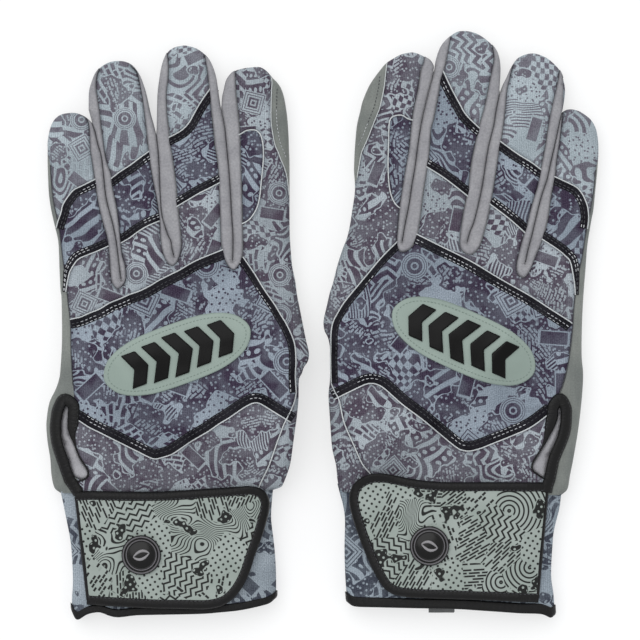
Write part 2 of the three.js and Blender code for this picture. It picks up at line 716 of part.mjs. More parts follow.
  // Cuff and its hem
  const cuffShell = cut(shell.intersect(palmSide), wristCut);
  const hemEnds = handEdges[handEdges.length - 1];
  const hemAbove = side(hemEnds[0], hemEnds[1], hemWidth);
  const hemRoom = side(hemEnds[0], hemEnds[1], hemWidth + clearance);
  pieces.cuff = [mainBody(cuffShell.intersect(hemRoom)), "cuff"];
  const slab = (bottom, top) => {
    const [out, back] = [farAway, -farAway];
    return prism([[back, back], [out, back], [out, out], [back, out]], bottom, top);
  };
  const hem = cut(handTube(bindingRise).subtract(inner), hemAbove).intersect(slab(0, farAway));
  pieces.cuff_binding = [mainBody(cut(hem, wristCut)), "black"];

  // Strap with its hook patch, binding and badge, and the loop patch it closes on
  const strapLow = patchThickness * 2 + clearance * 3;
  const strapTop = strapLow + strapThickness;
  const strapOutline = line(trace.strap);
  const faceOutline = inset(strapOutline, strapBindingWidth);
  const strapFace = layer(strapLow, strapTop).intersect(prism(inset(faceOutline, half)));
  pieces.strap = [mainBody(strapFace), "sage"];
  const bindingRing = cut(prism(strapOutline), prism(inset(faceOutline, -half)));
  const bindingSolid = layer(strapLow - strapBindingRise, strapTop + strapBindingRise).intersect(bindingRing);
  pieces.strap_binding = [mainBody(bindingSolid), "black"];
  pieces.loop_patch = [
    mainBody(layer(clearance, clearance + patchThickness).intersect(prism(line(trace.loopPatch)))), "loop"];
  const hookLow = patchThickness + 2 * clearance;
  const hookArea = prism(inset(faceOutline, clearance)).intersect(prism(line(trace.hookPatch)));
  pieces.hook_patch = [mainBody(layer(hookLow, hookLow + patchThickness).intersect(hookArea)), "hook"];
  const badgeAt = at(trace.badgeCentre);
  const disc = Array.from({ length: badgeSides }, (_, i) => {
    const turn = (2 * Math.PI * i) / badgeSides;
    return [badgeAt[0] + badgeRadius * Math.cos(turn), badgeAt[1] + badgeRadius * Math.sin(turn)];
  });
  const badge = layer(strapTop + clearance, strapTop + clearance + badgeThickness).intersect(prism(disc));
  pieces.strap_badge = [mainBody(badge), "badge"];

  // Thumb, folded flat under the palm, open at its root
  const reach = Math.hypot(thumbEnd[0] - root[0], thumbEnd[1] - root[1]);
  const toTip = [(thumbEnd[0] - root[0]) / reach, (thumbEnd[1] - root[1]) / reach];
  const alongThumb = (distance, halfSize) => {
    return [root[0] + distance * toTip[0], root[1] + distance * toTip[1], halfSize];
  };
  const thumbSpine = [
    alongThumb(-overrun / 2, thumbRootHalf),
    alongThumb(0, thumbRootHalf),
    alongThumb((reach - thumbTipHalf) / 2, (thumbRootHalf + thumbTipHalf) / 2),
    alongThumb(reach - thumbTipHalf, thumbTipHalf),
  ];
  const thumbTube = (grow) => tipTube(thumbSpine, thumbEnd, () => thumbHeight, grow);
  const inwards = side(axis[1], axis[0], 0);
  const thumbShell = thumbTube(0).subtract(thumbTube(-wall)).intersect(inwards);
  const thumbSeam = thumbHeight * sectionMiddleShare;
  pieces.thumb_leather = [mainBody(thumbShell.intersect(slab(thumbSeam + half, overrun))), "leather"];
  pieces.thumb_back = [mainBody(thumbShell.intersect(slab(-overrun, thumbSeam - half))), "darkPrint"];

  const group = new THREE.Group();
  Object.entries(pieces).forEach(([name, [solid, finish]]) => {
    const { vertProperties, triVerts, numProp } = solid.getMesh();
    const geometry = new THREE.BufferGeometry();
    const corner = (v) => Array.from(vertProperties.slice(v * numProp, v * numProp + 3));
    const positions = Array.from(triVerts).flatMap(corner);
    geometry.setAttribute("position", new THREE.Float32BufferAttribute(positions, 3));
    geometry.computeVertexNormals();
    const material = new THREE.MeshStandardMaterial({ ...finishes[finish], metalness: 0 });
    const mesh = new THREE.Mesh(geometry, material);
    mesh.name = `${trace.side}_${name}`;
    group.add(mesh);
  });
  group.scale.x = sign;
  return group;
}

const pair = new THREE.Group();
pair.add(makeGlove(leftTrace), makeGlove(rightTrace));
const bounds = new THREE.Box3().setFromObject(pair);
const middle = bounds.getCenter(new THREE.Vector3());
pair.position.set(-middle.x, -middle.y, -bounds.min.z);

export default pair;
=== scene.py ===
"""A pair of batting gloves, backs up, thumbs folded under the palms.

Each glove is built in its own plane in millimetres, u towards the thumb side and v towards the fingertips,
and the right glove is mirrored when its pieces are placed. Outlines are in pixels of a 640-pixel view.
"""
import math
import random

import bpy
import numpy as np
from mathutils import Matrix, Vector, noise
from mathutils.geometry import delaunay_2d_cdt


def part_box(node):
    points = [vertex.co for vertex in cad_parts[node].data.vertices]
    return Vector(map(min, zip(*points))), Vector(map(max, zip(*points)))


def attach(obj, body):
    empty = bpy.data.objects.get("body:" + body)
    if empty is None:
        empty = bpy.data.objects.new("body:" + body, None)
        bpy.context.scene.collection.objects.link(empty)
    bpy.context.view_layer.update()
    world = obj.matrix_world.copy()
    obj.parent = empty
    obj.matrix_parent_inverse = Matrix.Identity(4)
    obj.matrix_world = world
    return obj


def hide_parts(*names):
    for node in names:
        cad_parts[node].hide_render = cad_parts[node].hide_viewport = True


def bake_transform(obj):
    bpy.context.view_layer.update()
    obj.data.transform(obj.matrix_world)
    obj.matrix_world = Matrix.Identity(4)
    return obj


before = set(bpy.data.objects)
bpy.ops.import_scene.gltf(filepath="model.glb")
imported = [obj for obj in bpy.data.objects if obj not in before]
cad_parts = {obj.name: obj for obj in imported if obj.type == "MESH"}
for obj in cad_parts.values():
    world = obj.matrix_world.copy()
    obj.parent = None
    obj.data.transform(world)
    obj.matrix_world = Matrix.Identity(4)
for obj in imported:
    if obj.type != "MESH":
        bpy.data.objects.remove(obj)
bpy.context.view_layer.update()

# Pixels of the view's side, millimetres of a pixel across and down, and the pixel at the plane's origin
VIEW = 640
KX, KY = 109 / 263, 238 / 574
ORIGIN_X, ORIGIN_Y = 323.5, 619
# Power of the rounded sections, the share of the height where they are widest, and the lowest height in mm
ROUND = 2.7
MIDDLE = 0.45
LEAST = 0.02
# Fingers with a band above and one below their flex inset, and the gussets between the fingers
FINGERS = ("pinky", "ring", "middle")
GUSSETS = ("pinky_ring_gusset", "ring_middle_gusset", "middle_index_gusset")

LEFT = {
    "side": "left",
    "sign": 1,
    "fold": [(57, 314), (295, 263)],
    "wrist": [(60, 493), (273, 490)],
    "thumb_axis": [(288, 362), (275, 444)],
    "thumb_tip": (172, 345),
    "palm_pinky": [
        (60, 493), (54, 488), (51, 475), (50, 460), (48.5, 450), (47, 440), (46, 425), (47.5, 410),
        (50, 400), (55, 390), (58.5, 380), (60, 370), (61.5, 340), (61, 300), (60, 290), (59, 270),
        (58.5, 255), (57.5, 240), (54, 225), (51, 212), (49, 200), (48, 190), (47, 165), (47, 150),
    ],
    "tips": [
        [
            (47, 150), (47, 142), (48.5, 132), (51, 124), (55, 118), (61, 114), (70, 112.5), (77, 113),
            (84, 116), (88, 119), (91, 122),
        ],
        [
            (88.5, 110), (88.5, 100), (89, 90), (92, 80), (95, 73), (100, 67), (106, 63), (112, 61),
            (118, 60.5), (124, 61), (130, 63.5), (135, 68), (139, 74), (142, 81), (145, 90), (147, 98),
            (150, 112), (153, 123), (155.5, 133),
        ],
        [
            (156.5, 130), (157, 105), (157.5, 92), (159, 80), (161, 68), (164, 58), (168, 51), (174, 47),
            (180, 45.5), (185, 45), (192, 46.5), (198, 49), (204, 53.5), (209, 59), (213, 67), (216, 77),
            (218, 90), (219, 97), (220.5, 107),
        ],
        [
            (221.5, 105), (222, 97), (223.5, 90), (226, 80), (231, 73), (236, 70), (243, 68), (250, 67),
            (258, 66.5), (262, 67.5), (267, 71), (272, 77), (277, 82), (281, 88), (284, 97), (286, 108),
            (287.5, 120), (288.5, 135), (289, 150),
        ],
    ],
    "slits": [
        [
            (92, 123), (95, 132), (98, 145), (101, 155), (103, 170), (104, 180), (106.5, 200), (113, 225),
            (116, 240), (118, 255), (120.5, 275), (121.5, 281),
        ],
        [
            (156, 133), (158, 150), (159, 165), (160, 190), (162, 215), (168, 235), (171, 241), (172, 248),
            (174, 257),
        ],
        [
            (221, 107), (223, 118), (225, 130), (226.5, 145), (228, 160), (230, 185), (232, 220),
            (233, 235), (233, 252), (232.5, 262),
        ],
    ],
    "palm_thumb": [
        (289, 150), (289.5, 165), (289.5, 220), (290, 240), (292, 265), (294, 275), (295.5, 283),
        (297, 295), (299, 305), (301, 315), (303, 325), (306, 340), (308.5, 350), (309, 356), (307.5, 362),
        (304, 367), (302, 373), (299, 380), (298.5, 400), (296.5, 420), (295, 430), (293, 445), (291, 460),
        (288.5, 470), (284, 482), (281, 487), (273, 490),
    ],
    "edges": [
        [
            (80, 95), (84, 112), (89, 125), (90.5, 150), (92, 160), (95, 180), (97, 195), (99.5, 208),
            (103, 222), (107, 236), (108.5, 245), (110, 260), (111, 275), (113, 284), (118, 289),
            (123, 285), (125.5, 280), (126, 275), (125, 265), (122, 255), (120, 235), (117, 210),
            (113, 190), (111, 175), (107.5, 165), (105, 155), (103, 140), (101, 125), (100, 115), (97, 95),
            (96, 85), (97, 75), (99, 68), (100, 50),
        ],
        [
            (128, 50), (131, 65), (137, 72), (141, 90), (144, 110), (146.5, 130), (148.5, 150), (150, 162),
            (153, 180), (157, 200), (160, 222), (160.5, 235), (162, 248), (166, 260), (172, 266),
            (177, 262), (180, 254), (181.5, 245), (181, 235), (179.5, 220), (177.5, 200), (176, 182),
            (173, 160), (171, 148), (169, 130), (167, 112), (166.5, 93), (168, 80), (168.5, 66), (167, 54),
            (164, 38),
        ],
        [
            (203, 38), (205, 56), (208, 75), (209.5, 92), (211, 108), (213, 125), (215, 145), (218, 165),
            (219, 183), (220, 205), (221, 235), (222, 248), (226, 262), (233, 270), (239, 265), (242, 258),
            (243, 250), (243, 240), (242, 195), (241, 165), (240, 135), (239, 120), (236.5, 97), (235, 75),
            (233, 55),
        ],
    ],
    "index_leather": [
        (269, 55), (271, 76), (272, 83), (271.5, 92), (271, 112), (271.5, 125), (273, 135), (275, 145),
        (278, 152), (281, 160), (284, 167), (286.5, 175), (288, 185), (289, 195), (293, 206),
    ],
    "oval": [
        (236, 136), (241, 134), (246, 131), (252, 130), (257, 131), (261, 136), (263, 145), (263.5, 155),
        (263, 165), (261, 185), (260, 195), (258, 205), (255, 212), (250, 219), (244, 223), (238, 225),
    ],
    "pinky_seam": [
        (46, 150), (50, 165), (51, 180), (53, 200), (56, 214), (59, 230), (61.5, 250), (64, 268),
        (66.5, 285), (68, 302), (70.5, 323), (71.5, 355), (73.5, 385), (75, 405), (74, 425), (72.5, 445),
        (75, 466), (77.5, 481), (80, 496),
    ],
    "upper_lines": [
        [(56, 228), (58, 221), (61, 213), (63, 205), (68, 197), (74, 190), (82, 186), (97, 178.5)],
        [(108, 180), (112, 178), (120, 172), (130, 165.5), (140, 158), (151, 150)],
        [
            (167, 138.5), (170, 137), (176, 134), (183, 129.5), (189, 123), (193, 116), (198, 107),
            (203, 99), (209, 90.5), (212, 86),
        ],
    ],
    "lower_lines": [
        [
            (66, 292), (66.6, 287), (68, 280), (70, 272), (74, 265), (79, 259), (88, 255), (98, 251),
            (109, 246),
        ],
        [(119, 244), (121, 243), (130, 238), (138, 232), (148, 226), (162, 220)],
        [(175, 208), (178, 206), (189, 199.5), (200, 193), (210, 188), (222, 181.5)],
    ],
    "knuckle_line": [
        (70, 319.5), (75, 318.3), (81, 317), (90, 313), (100, 309), (110, 303), (120, 299), (130, 294.5),
        (140, 291), (150, 286), (160, 280), (170, 275), (180, 270), (190, 264), (200, 259), (210, 255),
        (221, 250.5), (225, 249),
    ],
    "thumb_line": [
        (238, 251), (243, 257), (250, 267), (256, 276), (262, 286), (268, 295), (275, 305), (281, 315),
        (286, 323), (290, 331), (293, 338), (295, 345), (296, 355), (296, 365), (295.5, 375), (296, 385),
        (296.5, 392), (295, 400), (292, 408), (287, 418), (284, 424), (281, 432), (278, 440), (274.5, 450),
        (271, 460), (267, 470), (262, 480), (256, 494),
    ],
    "thumb_band_to": 397,
    "wrist_line": [
        (76, 418.5), (79, 420), (90, 427), (100, 432), (110, 437), (120, 442), (130, 447), (140, 452),
        (150, 457), (156, 458.5), (163, 457), (172, 454), (180, 449), (190, 442), (200, 436), (210, 430),
        (220, 423), (230, 417), (240, 410), (248, 405), (254, 402.5), (259, 402.5), (264, 405), (272, 410),
        (285, 418), (291, 422),
    ],
    "slit": [
        (73.5, 475), (79, 478.5), (84, 479), (89.5, 475), (86.8, 467), (80.5, 457.5), (76.2, 446.6),
        (73, 439), (69.6, 433), (68.8, 425), (69, 417), (69.3, 408), (68, 400.5), (65, 405.5), (62.6, 413),
        (61, 423), (61, 434), (63.5, 446), (68.6, 460),
    ],
    "slit_notch": (64, 442.5),
    "slit_tail": [(69.5, 479), (75, 487), (79, 493)],
    "emblem": (178, 354),
    "emblem_tilt": 0.35,
    "cuff_pinky": [
        (57, 478), (60, 491), (63, 505), (66, 520), (69, 535), (71, 550), (72.5, 580), (71.5, 600),
        (72, 612),
    ],
    "cuff_thumb": [
        (276, 478), (273, 490), (271, 515), (272, 528), (273.5, 540), (275, 555), (276, 575), (276, 596),
    ],
    "hem_width": 2.8,
    "hem": [
        (70, 609), (72, 612), (77, 619), (88, 613), (100, 611), (108, 614), (118, 616), (135, 614),
        (150, 613.5), (200, 612.5), (220, 611), (240, 609), (260, 605), (270, 602), (276, 597), (280, 596),
    ],
    "strap": [
        (75, 491.5), (87, 490.5), (100, 490.5), (130, 491), (160, 491), (200, 488.5), (225, 487),
        (240, 486), (250, 485.5), (258, 487), (264, 490), (268, 496), (270, 503), (269, 512), (266.5, 521),
        (264, 530), (260, 542), (255, 555), (251, 568), (246, 580), (240, 590), (233, 598), (226, 603),
        (218, 606), (205, 608), (180, 607.5), (150, 607), (120, 605.5), (87, 604),
    ],
    "badge": (142, 554),
    "tab": None,
}

RIGHT = {
    "side": "right",
    "sign": -1,
    "fold": [(584, 305), (345, 252)],
    "wrist": [(562, 495), (340, 492)],
    "thumb_axis": [(350, 352), (350, 434)],
    "thumb_tip": (455, 322),
    "palm_pinky": [
        (562, 495), (568, 489), (570.5, 475), (573.5, 460), (578.5, 430), (582, 400), (583.5, 375),
        (582, 355), (582.5, 325), (584, 295), (586, 270), (588, 245), (592, 220), (594, 210), (596, 190),
        (598, 170), (599, 155),
    ],
    "tips": [
        [
            (599, 155), (599, 145), (598, 135), (596, 127), (592, 120), (587, 115.5), (580, 111),
            (573, 109), (567, 109.5), (562.5, 112),
        ],
        [
            (563, 110), (565, 98), (565.5, 88), (564, 80), (562, 73), (558, 67), (553, 62), (548, 58),
            (542, 55), (535, 53), (528, 53.5), (521, 56), (516, 60), (511, 68), (507, 77), (503, 85),
            (500.5, 92),
        ],
        [
            (499.5, 90), (500.5, 75), (500.5, 65), (499, 56), (496, 49), (491, 43), (485, 38), (478, 33.5),
            (470, 31), (462, 30.5), (456, 32), (449, 37), (443, 43), (439, 50), (436, 60), (434.5, 70),
        ],
        [
            (433.5, 70), (434, 66), (431, 60.5), (426, 57), (420, 54), (414, 52), (407, 52.5), (400, 54.5),
            (392, 59), (386, 63), (380, 70), (374, 78), (369, 86), (363, 100), (360, 112), (357, 125),
            (355.5, 140), (354.5, 155), (354, 170),
        ],
    ],
    "slits": [
        [
            (562, 112), (559, 125), (556, 140), (551, 162), (547, 180), (542, 195), (538, 210), (532, 235),
            (528, 250), (525, 264),
        ],
        [
            (500, 92), (496, 112), (494, 125), (489, 145), (486, 162), (483, 182), (479, 202), (474, 222),
            (470, 232), (467, 243),
        ],
        [
            (434, 72), (428, 95), (422, 120), (418, 145), (415, 168), (412, 185), (409, 205), (405, 225),
            (402, 243),
        ],
    ],
    "palm_thumb": [
        (354, 170), (355, 190), (352, 212), (350, 225), (347, 238), (343, 248), (337.5, 265), (333, 283),
        (330, 292), (327, 305), (324, 318), (323.5, 325), (325, 332), (328, 338), (330, 350), (330, 378),
        (328.5, 395), (330, 420), (332, 447), (336, 465), (337.5, 480), (340, 492),
    ],
    "edges": [
        [
            (563, 100), (562, 118), (560, 138), (557, 158), (555, 177), (551, 197), (548, 218), (543, 238),
            (536, 255), (530, 270), (524, 277.5), (518, 274), (516.5, 265), (521, 245), (527, 225),
            (532, 205), (538, 185), (541, 168), (545, 148), (548, 128), (552, 107), (556, 90), (560, 70),
            (562, 50),
        ],
        [
            (513, 48), (513, 62), (510, 77), (507, 90), (505, 112), (502, 135), (498.5, 155), (495, 178),
            (491, 202), (486, 225), (480, 245), (474, 253), (467.5, 254.5), (461, 249), (460, 238),
            (463.5, 212), (468, 190), (471, 165), (475, 145), (479.5, 125), (485, 105), (490, 80),
            (494, 60), (493, 48), (490, 28),
        ],
        [
            (451, 25), (450, 40), (447, 57), (444, 70), (441, 80), (439, 92), (434, 118), (431, 130),
            (429, 155), (427, 170), (425, 183), (423, 195), (420, 220), (416.5, 238), (411, 248),
            (403, 252), (398, 249), (397, 240), (398, 228), (400, 205), (403, 185), (405.5, 170),
            (409, 150), (411, 130), (413.5, 110), (418, 90), (421, 70), (424, 62), (427, 42),
        ],
    ],
    "index_leather": [
        (388, 48), (387, 63), (385.5, 75), (384, 88), (380, 107), (377, 115), (373, 125), (368, 138),
        (364, 147), (361, 155), (357, 178), (352, 190),
    ],
    "oval": [
        (416, 121), (408, 119), (402, 115.5), (395, 116), (390.5, 119), (389, 126), (388.5, 145),
        (388, 165), (389, 185), (392, 198), (397, 206), (404, 210),
    ],
    "pinky_seam": [
        (600, 155), (596, 170), (594, 190), (591, 208), (588, 222), (585, 240), (582, 258), (578, 275),
        (575.5, 292), (573.5, 310), (572, 332), (568, 362), (562, 386), (553, 405), (551.5, 425),
        (549.5, 445), (545.5, 466), (546, 482), (547, 498),
    ],
    "upper_lines": [
        [
            (587.5, 229), (588.5, 221), (588.5, 214), (587.5, 207), (585.5, 201), (582, 194), (577, 188),
            (570, 184), (552, 175.5),
        ],
        [(543, 170.5), (540, 169), (532, 163), (516, 153), (497, 139)],
        [(481, 129), (478, 127), (466, 115), (460, 105), (454, 94), (449, 84), (443, 71)],
    ],
    "lower_lines": [
        [(575, 295), (574.6, 288), (573.5, 279), (570, 262), (565, 256), (558, 250), (540, 238)],
        [(527, 235), (524, 232), (508, 218), (489, 203.5)],
        [(469, 197.5), (466, 195), (444, 178), (425, 166)],
    ],
    "knuckle_line": [
        (572, 323.5), (568, 320.5), (550, 309), (530, 296), (500, 279), (470, 261), (440, 246), (418, 235),
        (414, 233),
    ],
    "thumb_line": [
        (404, 234), (398, 241), (382, 257), (366, 276), (350, 295), (343, 304), (337, 314), (333, 322),
        (331, 332), (330.7, 346), (330.5, 360), (331, 383), (335, 392), (339, 400), (344, 422), (353, 443),
        (362, 463), (371, 475), (378, 494),
    ],
    "thumb_band_to": 385,
    "wrist_line": [
        (551, 412), (548, 414), (530, 427), (510, 436), (490, 444), (480, 448), (470, 450.5), (463, 450),
        (456, 447), (440, 434), (422, 419), (402, 404), (385, 389), (378, 384.5), (372, 383), (365, 384),
        (350, 391), (340, 396), (334, 399),
    ],
    "slit": [
        (544.5, 476.5), (537, 474), (530.5, 467), (535, 457.5), (540, 449.5), (546, 439.5), (550.5, 431.5),
        (554.5, 424), (556.8, 416), (557.4, 407), (558.6, 399.5), (560.2, 407), (560.6, 420), (559, 432),
        (555.5, 441), (550.8, 452), (547, 463),
    ],
    "slit_notch": (549, 455),
    "slit_tail": [(549.5, 478), (547, 486), (546, 492)],
    "emblem": (463, 341),
    "emblem_tilt": 0.42,
    "cuff_pinky": [
        (567, 480), (562, 493), (560, 508), (554.5, 530), (553, 545), (551.5, 575), (554, 595), (555, 612),
    ],
    "cuff_thumb": [(336, 478), (340, 494), (343, 505), (345, 520), (344.5, 550), (345.5, 580), (347, 598)],
    "hem_width": 3.8,
    "hem": [
        (558, 615), (555, 614), (551, 617), (541, 613), (520, 612), (500, 610.5), (478, 609), (455, 607.5),
        (427, 607), (400, 606.5), (375, 606), (355, 605.5), (348, 602), (344, 599),
    ],
    "strap": [
        (548, 482), (500, 481.5), (450, 481.5), (430, 480.5), (410, 478), (396, 475), (383, 473),
        (374, 473), (367, 474.5), (360, 478), (354, 483), (350.5, 490), (349, 500), (351, 512), (355, 525),
        (359.5, 538), (364, 550), (372, 568), (382, 585), (388, 590.5), (395, 594), (406, 596), (420, 597),
        (450, 598), (480, 599), (510, 600.5), (538, 602),
    ],
    "badge": (429, 545),
    "tab": [(429, 600), (455, 600), (455, 613.5), (429, 613.5)],
}


def mirrored(value):
    """An entry of the right glove, its pixels turned over to lie as the left glove's do."""
    if isinstance(value, list):
        return [mirrored(v) for v in value]
    if isinstance(value, tuple):
        return 2 * ORIGIN_X - value[0], value[1]
    return value


RIGHT = {key: mirrored(value) for key, value in RIGHT.items()}

# From the plane's origin to the frame's, by the middle of the left badge
lo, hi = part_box("left_strap_badge")
SHIFT = (
    (lo.x + hi.x) * 500 - (LEFT["badge"][0] - ORIGIN_X) * KX,
    (lo.y + hi.y) * 500 - (ORIGIN_Y - LEFT["badge"][1]) * KY,
)


def smooth(v, low, high):
    """0 up to low and 1 from high, with a soft change."""
    s = np.clip((v - low) / (high - low), 0, 1)
    return s * s * (3 - 2 * s)


def crown(s, power=ROUND):
    """Profile of an inflated edge: 0 at the rim, 1 from a distance of 1 inwards."""
    return (1 - (1 - np.clip(s, 0, 1)) ** power) ** (1 / power)


def squared(wave, power):
    """A sine or cosine that swells a circle towards a square."""
    return np.sign(wave) * np.abs(wave) ** (2 / power)


def ripple(points, scale, seed):
    """Smooth noise at plane points."""
    return np.array([noise.noise(Vector((x / scale, y / scale, seed))) for x, y in points])


def mm(points):
    """Plane points in millimetres of one pixel point or a list of them."""
    p = np.array(points, float).reshape(-1, 2)
    return np.stack([(p[:, 0] - ORIGIN_X) * KX, (ORIGIN_Y - p[:, 1]) * KY], 1)


def pixels(p):
    """Columns and rows of the view for plane points."""
    return p[:, 0] / KX + ORIGIN_X, ORIGIN_Y - p[:, 1] / KY


def runs_of(line):
    """Length run along a line at each of its points."""
    return np.concatenate([[0], np.cumsum(np.hypot(*np.diff(line, axis=0).T))])


def resample(line, step):
    """The same line with points at even steps."""
    line = np.asarray(line, float)
    run = runs_of(line)
    s = np.linspace(0, run[-1], max(2, int(round(run[-1] / step)) + 1))
    return np.stack([np.interp(s, run, line[:, 0]), np.interp(s, run, line[:, 1])], 1)


def loop_of(points):
    """The points with the first one again at the end."""
    return np.concatenate([points, points[:1]])


def closed_line(points, step):
    """Straight sides round a loop at even steps, the first point not repeated."""
    return resample(loop_of(points), step)[:-1]


def curve(p, step, closed=False):
    """Catmull-Rom curve through points, at even steps."""
    if closed:
        p = np.concatenate([p[-1:], p, p[:2]])
    else:
        p = np.concatenate([2 * p[:1] - p[1:2], p, 2 * p[-1:] - p[-2:-1]])
    t = np.linspace(0, 1, 8, endpoint=False)[:, None]
    out = []
    for a, b, c, d in zip(p[:-3], p[1:-2], p[2:-1], p[3:]):
        second, third = 2 * a - 5 * b + 4 * c - d, 3 * b - a - 3 * c + d
        out.append(0.5 * (2 * b + (c - a) * t + second * t ** 2 + third * t ** 3))
    return resample(np.concatenate(out + [p[-2:-1]]), step)


def spline(points, step=0.9, closed=False):
    """Curve through pixel points, in millimetres."""
    return curve(mm(points), step, closed)


def left_of(a, b):
    """Unit vector to the left of the way from a to b."""
    way = (b - a) / np.hypot(*(b - a))
    return np.array([-way[1], way[0]])


def normals(line, closed=False):
    """Unit vectors to the left of a line."""
    if closed:
        along = np.roll(line, -1, 0) - np.roll(line, 1, 0)
    else:
        along = np.gradient(line, axis=0)
    along /= np.hypot(*along.T)[:, None] + 1e-12
    return np.stack([-along[:, 1], along[:, 0]], 1)


def distance(points, lines):
    """Distance from each point to the nearest of the lines."""
    a = np.concatenate([line[:-1] for line in lines])
    b = np.concatenate([line[1:] for line in lines])
    ab = b - a
    size = (ab ** 2).sum(1) + 1e-12
    out = np.empty(len(points))
    block = 1500
    for i in range(0, len(points), block):
        p = points[i:i + block, None, :] - a
        t = np.clip((p * ab).sum(2) / size, 0, 1)
        out[i:i + block] = np.sqrt(((p - t[..., None] * ab) ** 2).sum(2).min(1))
    return out


def inside(points, polygon):
    """Which of the points lie in a polygon."""
    x, y = points.T
    found = np.zeros(len(points), bool)
    for (ax, ay), (bx, by) in zip(polygon, np.roll(polygon, -1, 0)):
        if ay != by:
            found ^= ((ay > y) != (by > y)) & (x < (bx - ax) * (y - ay) / (by - ay) + ax)
    return found


def triangulate(loops, lines, spacing, rings=(0.15, 0.45, 1.0, 1.8)):
    """Triangles inside the first loop that keep every loop and line as edges, finer beside them."""
    points, edges = [], []
    for line, closed in [(p, True) for p in loops] + [(p, False) for p in lines]:
        first, count = len(points), len(line)
        points.extend(line)
        edges += [(first + i, first + (i + 1) % count) for i in range(count if closed else count - 1)]
    walls = [loop_of(p) for p in loops] + list(lines)
    rim = loops[0]
    extra = []
    for depth in rings:
        for wall in walls:
            for way in (1, -1):
                ring = wall + way * depth * normals(wall)
                extra.append(ring[distance(ring, walls) > 0.85 * depth])
    low, high = rim.min(0), rim.max(0)
    rows = []
    for j, y in enumerate(np.arange(low[1], high[1], spacing * 0.87)):
        x = np.arange(low[0] + (j % 2) * spacing / 2, high[0], spacing)
        rows.append(np.stack([x, np.full(len(x), y)], 1))
    grid = np.concatenate(rows)
    grid = grid[distance(grid, walls) > rings[-1] + 0.45 * spacing]
    cloud = np.concatenate(extra + [grid])
    every = [Vector(p) for p in points] + [Vector(p) for p in cloud[inside(cloud, rim)]]
    verts, _, faces, *_ = delaunay_2d_cdt(every, edges, [], 0, 1e-4)
    verts, faces = np.array([v[:] for v in verts]), np.array(faces)
    used, kept = np.unique(faces[inside(verts[faces].mean(1), rim)], return_inverse=True)
    return verts[used], kept.reshape(-1, 3)


def rim_edges(faces):
    """Directed edges that only one triangle has."""
    seen = set()
    for a, b, c in faces.tolist():
        seen.update(((a, b), (b, c), (c, a)))
    return [(a, b) for a, b in seen if (b, a) not in seen]


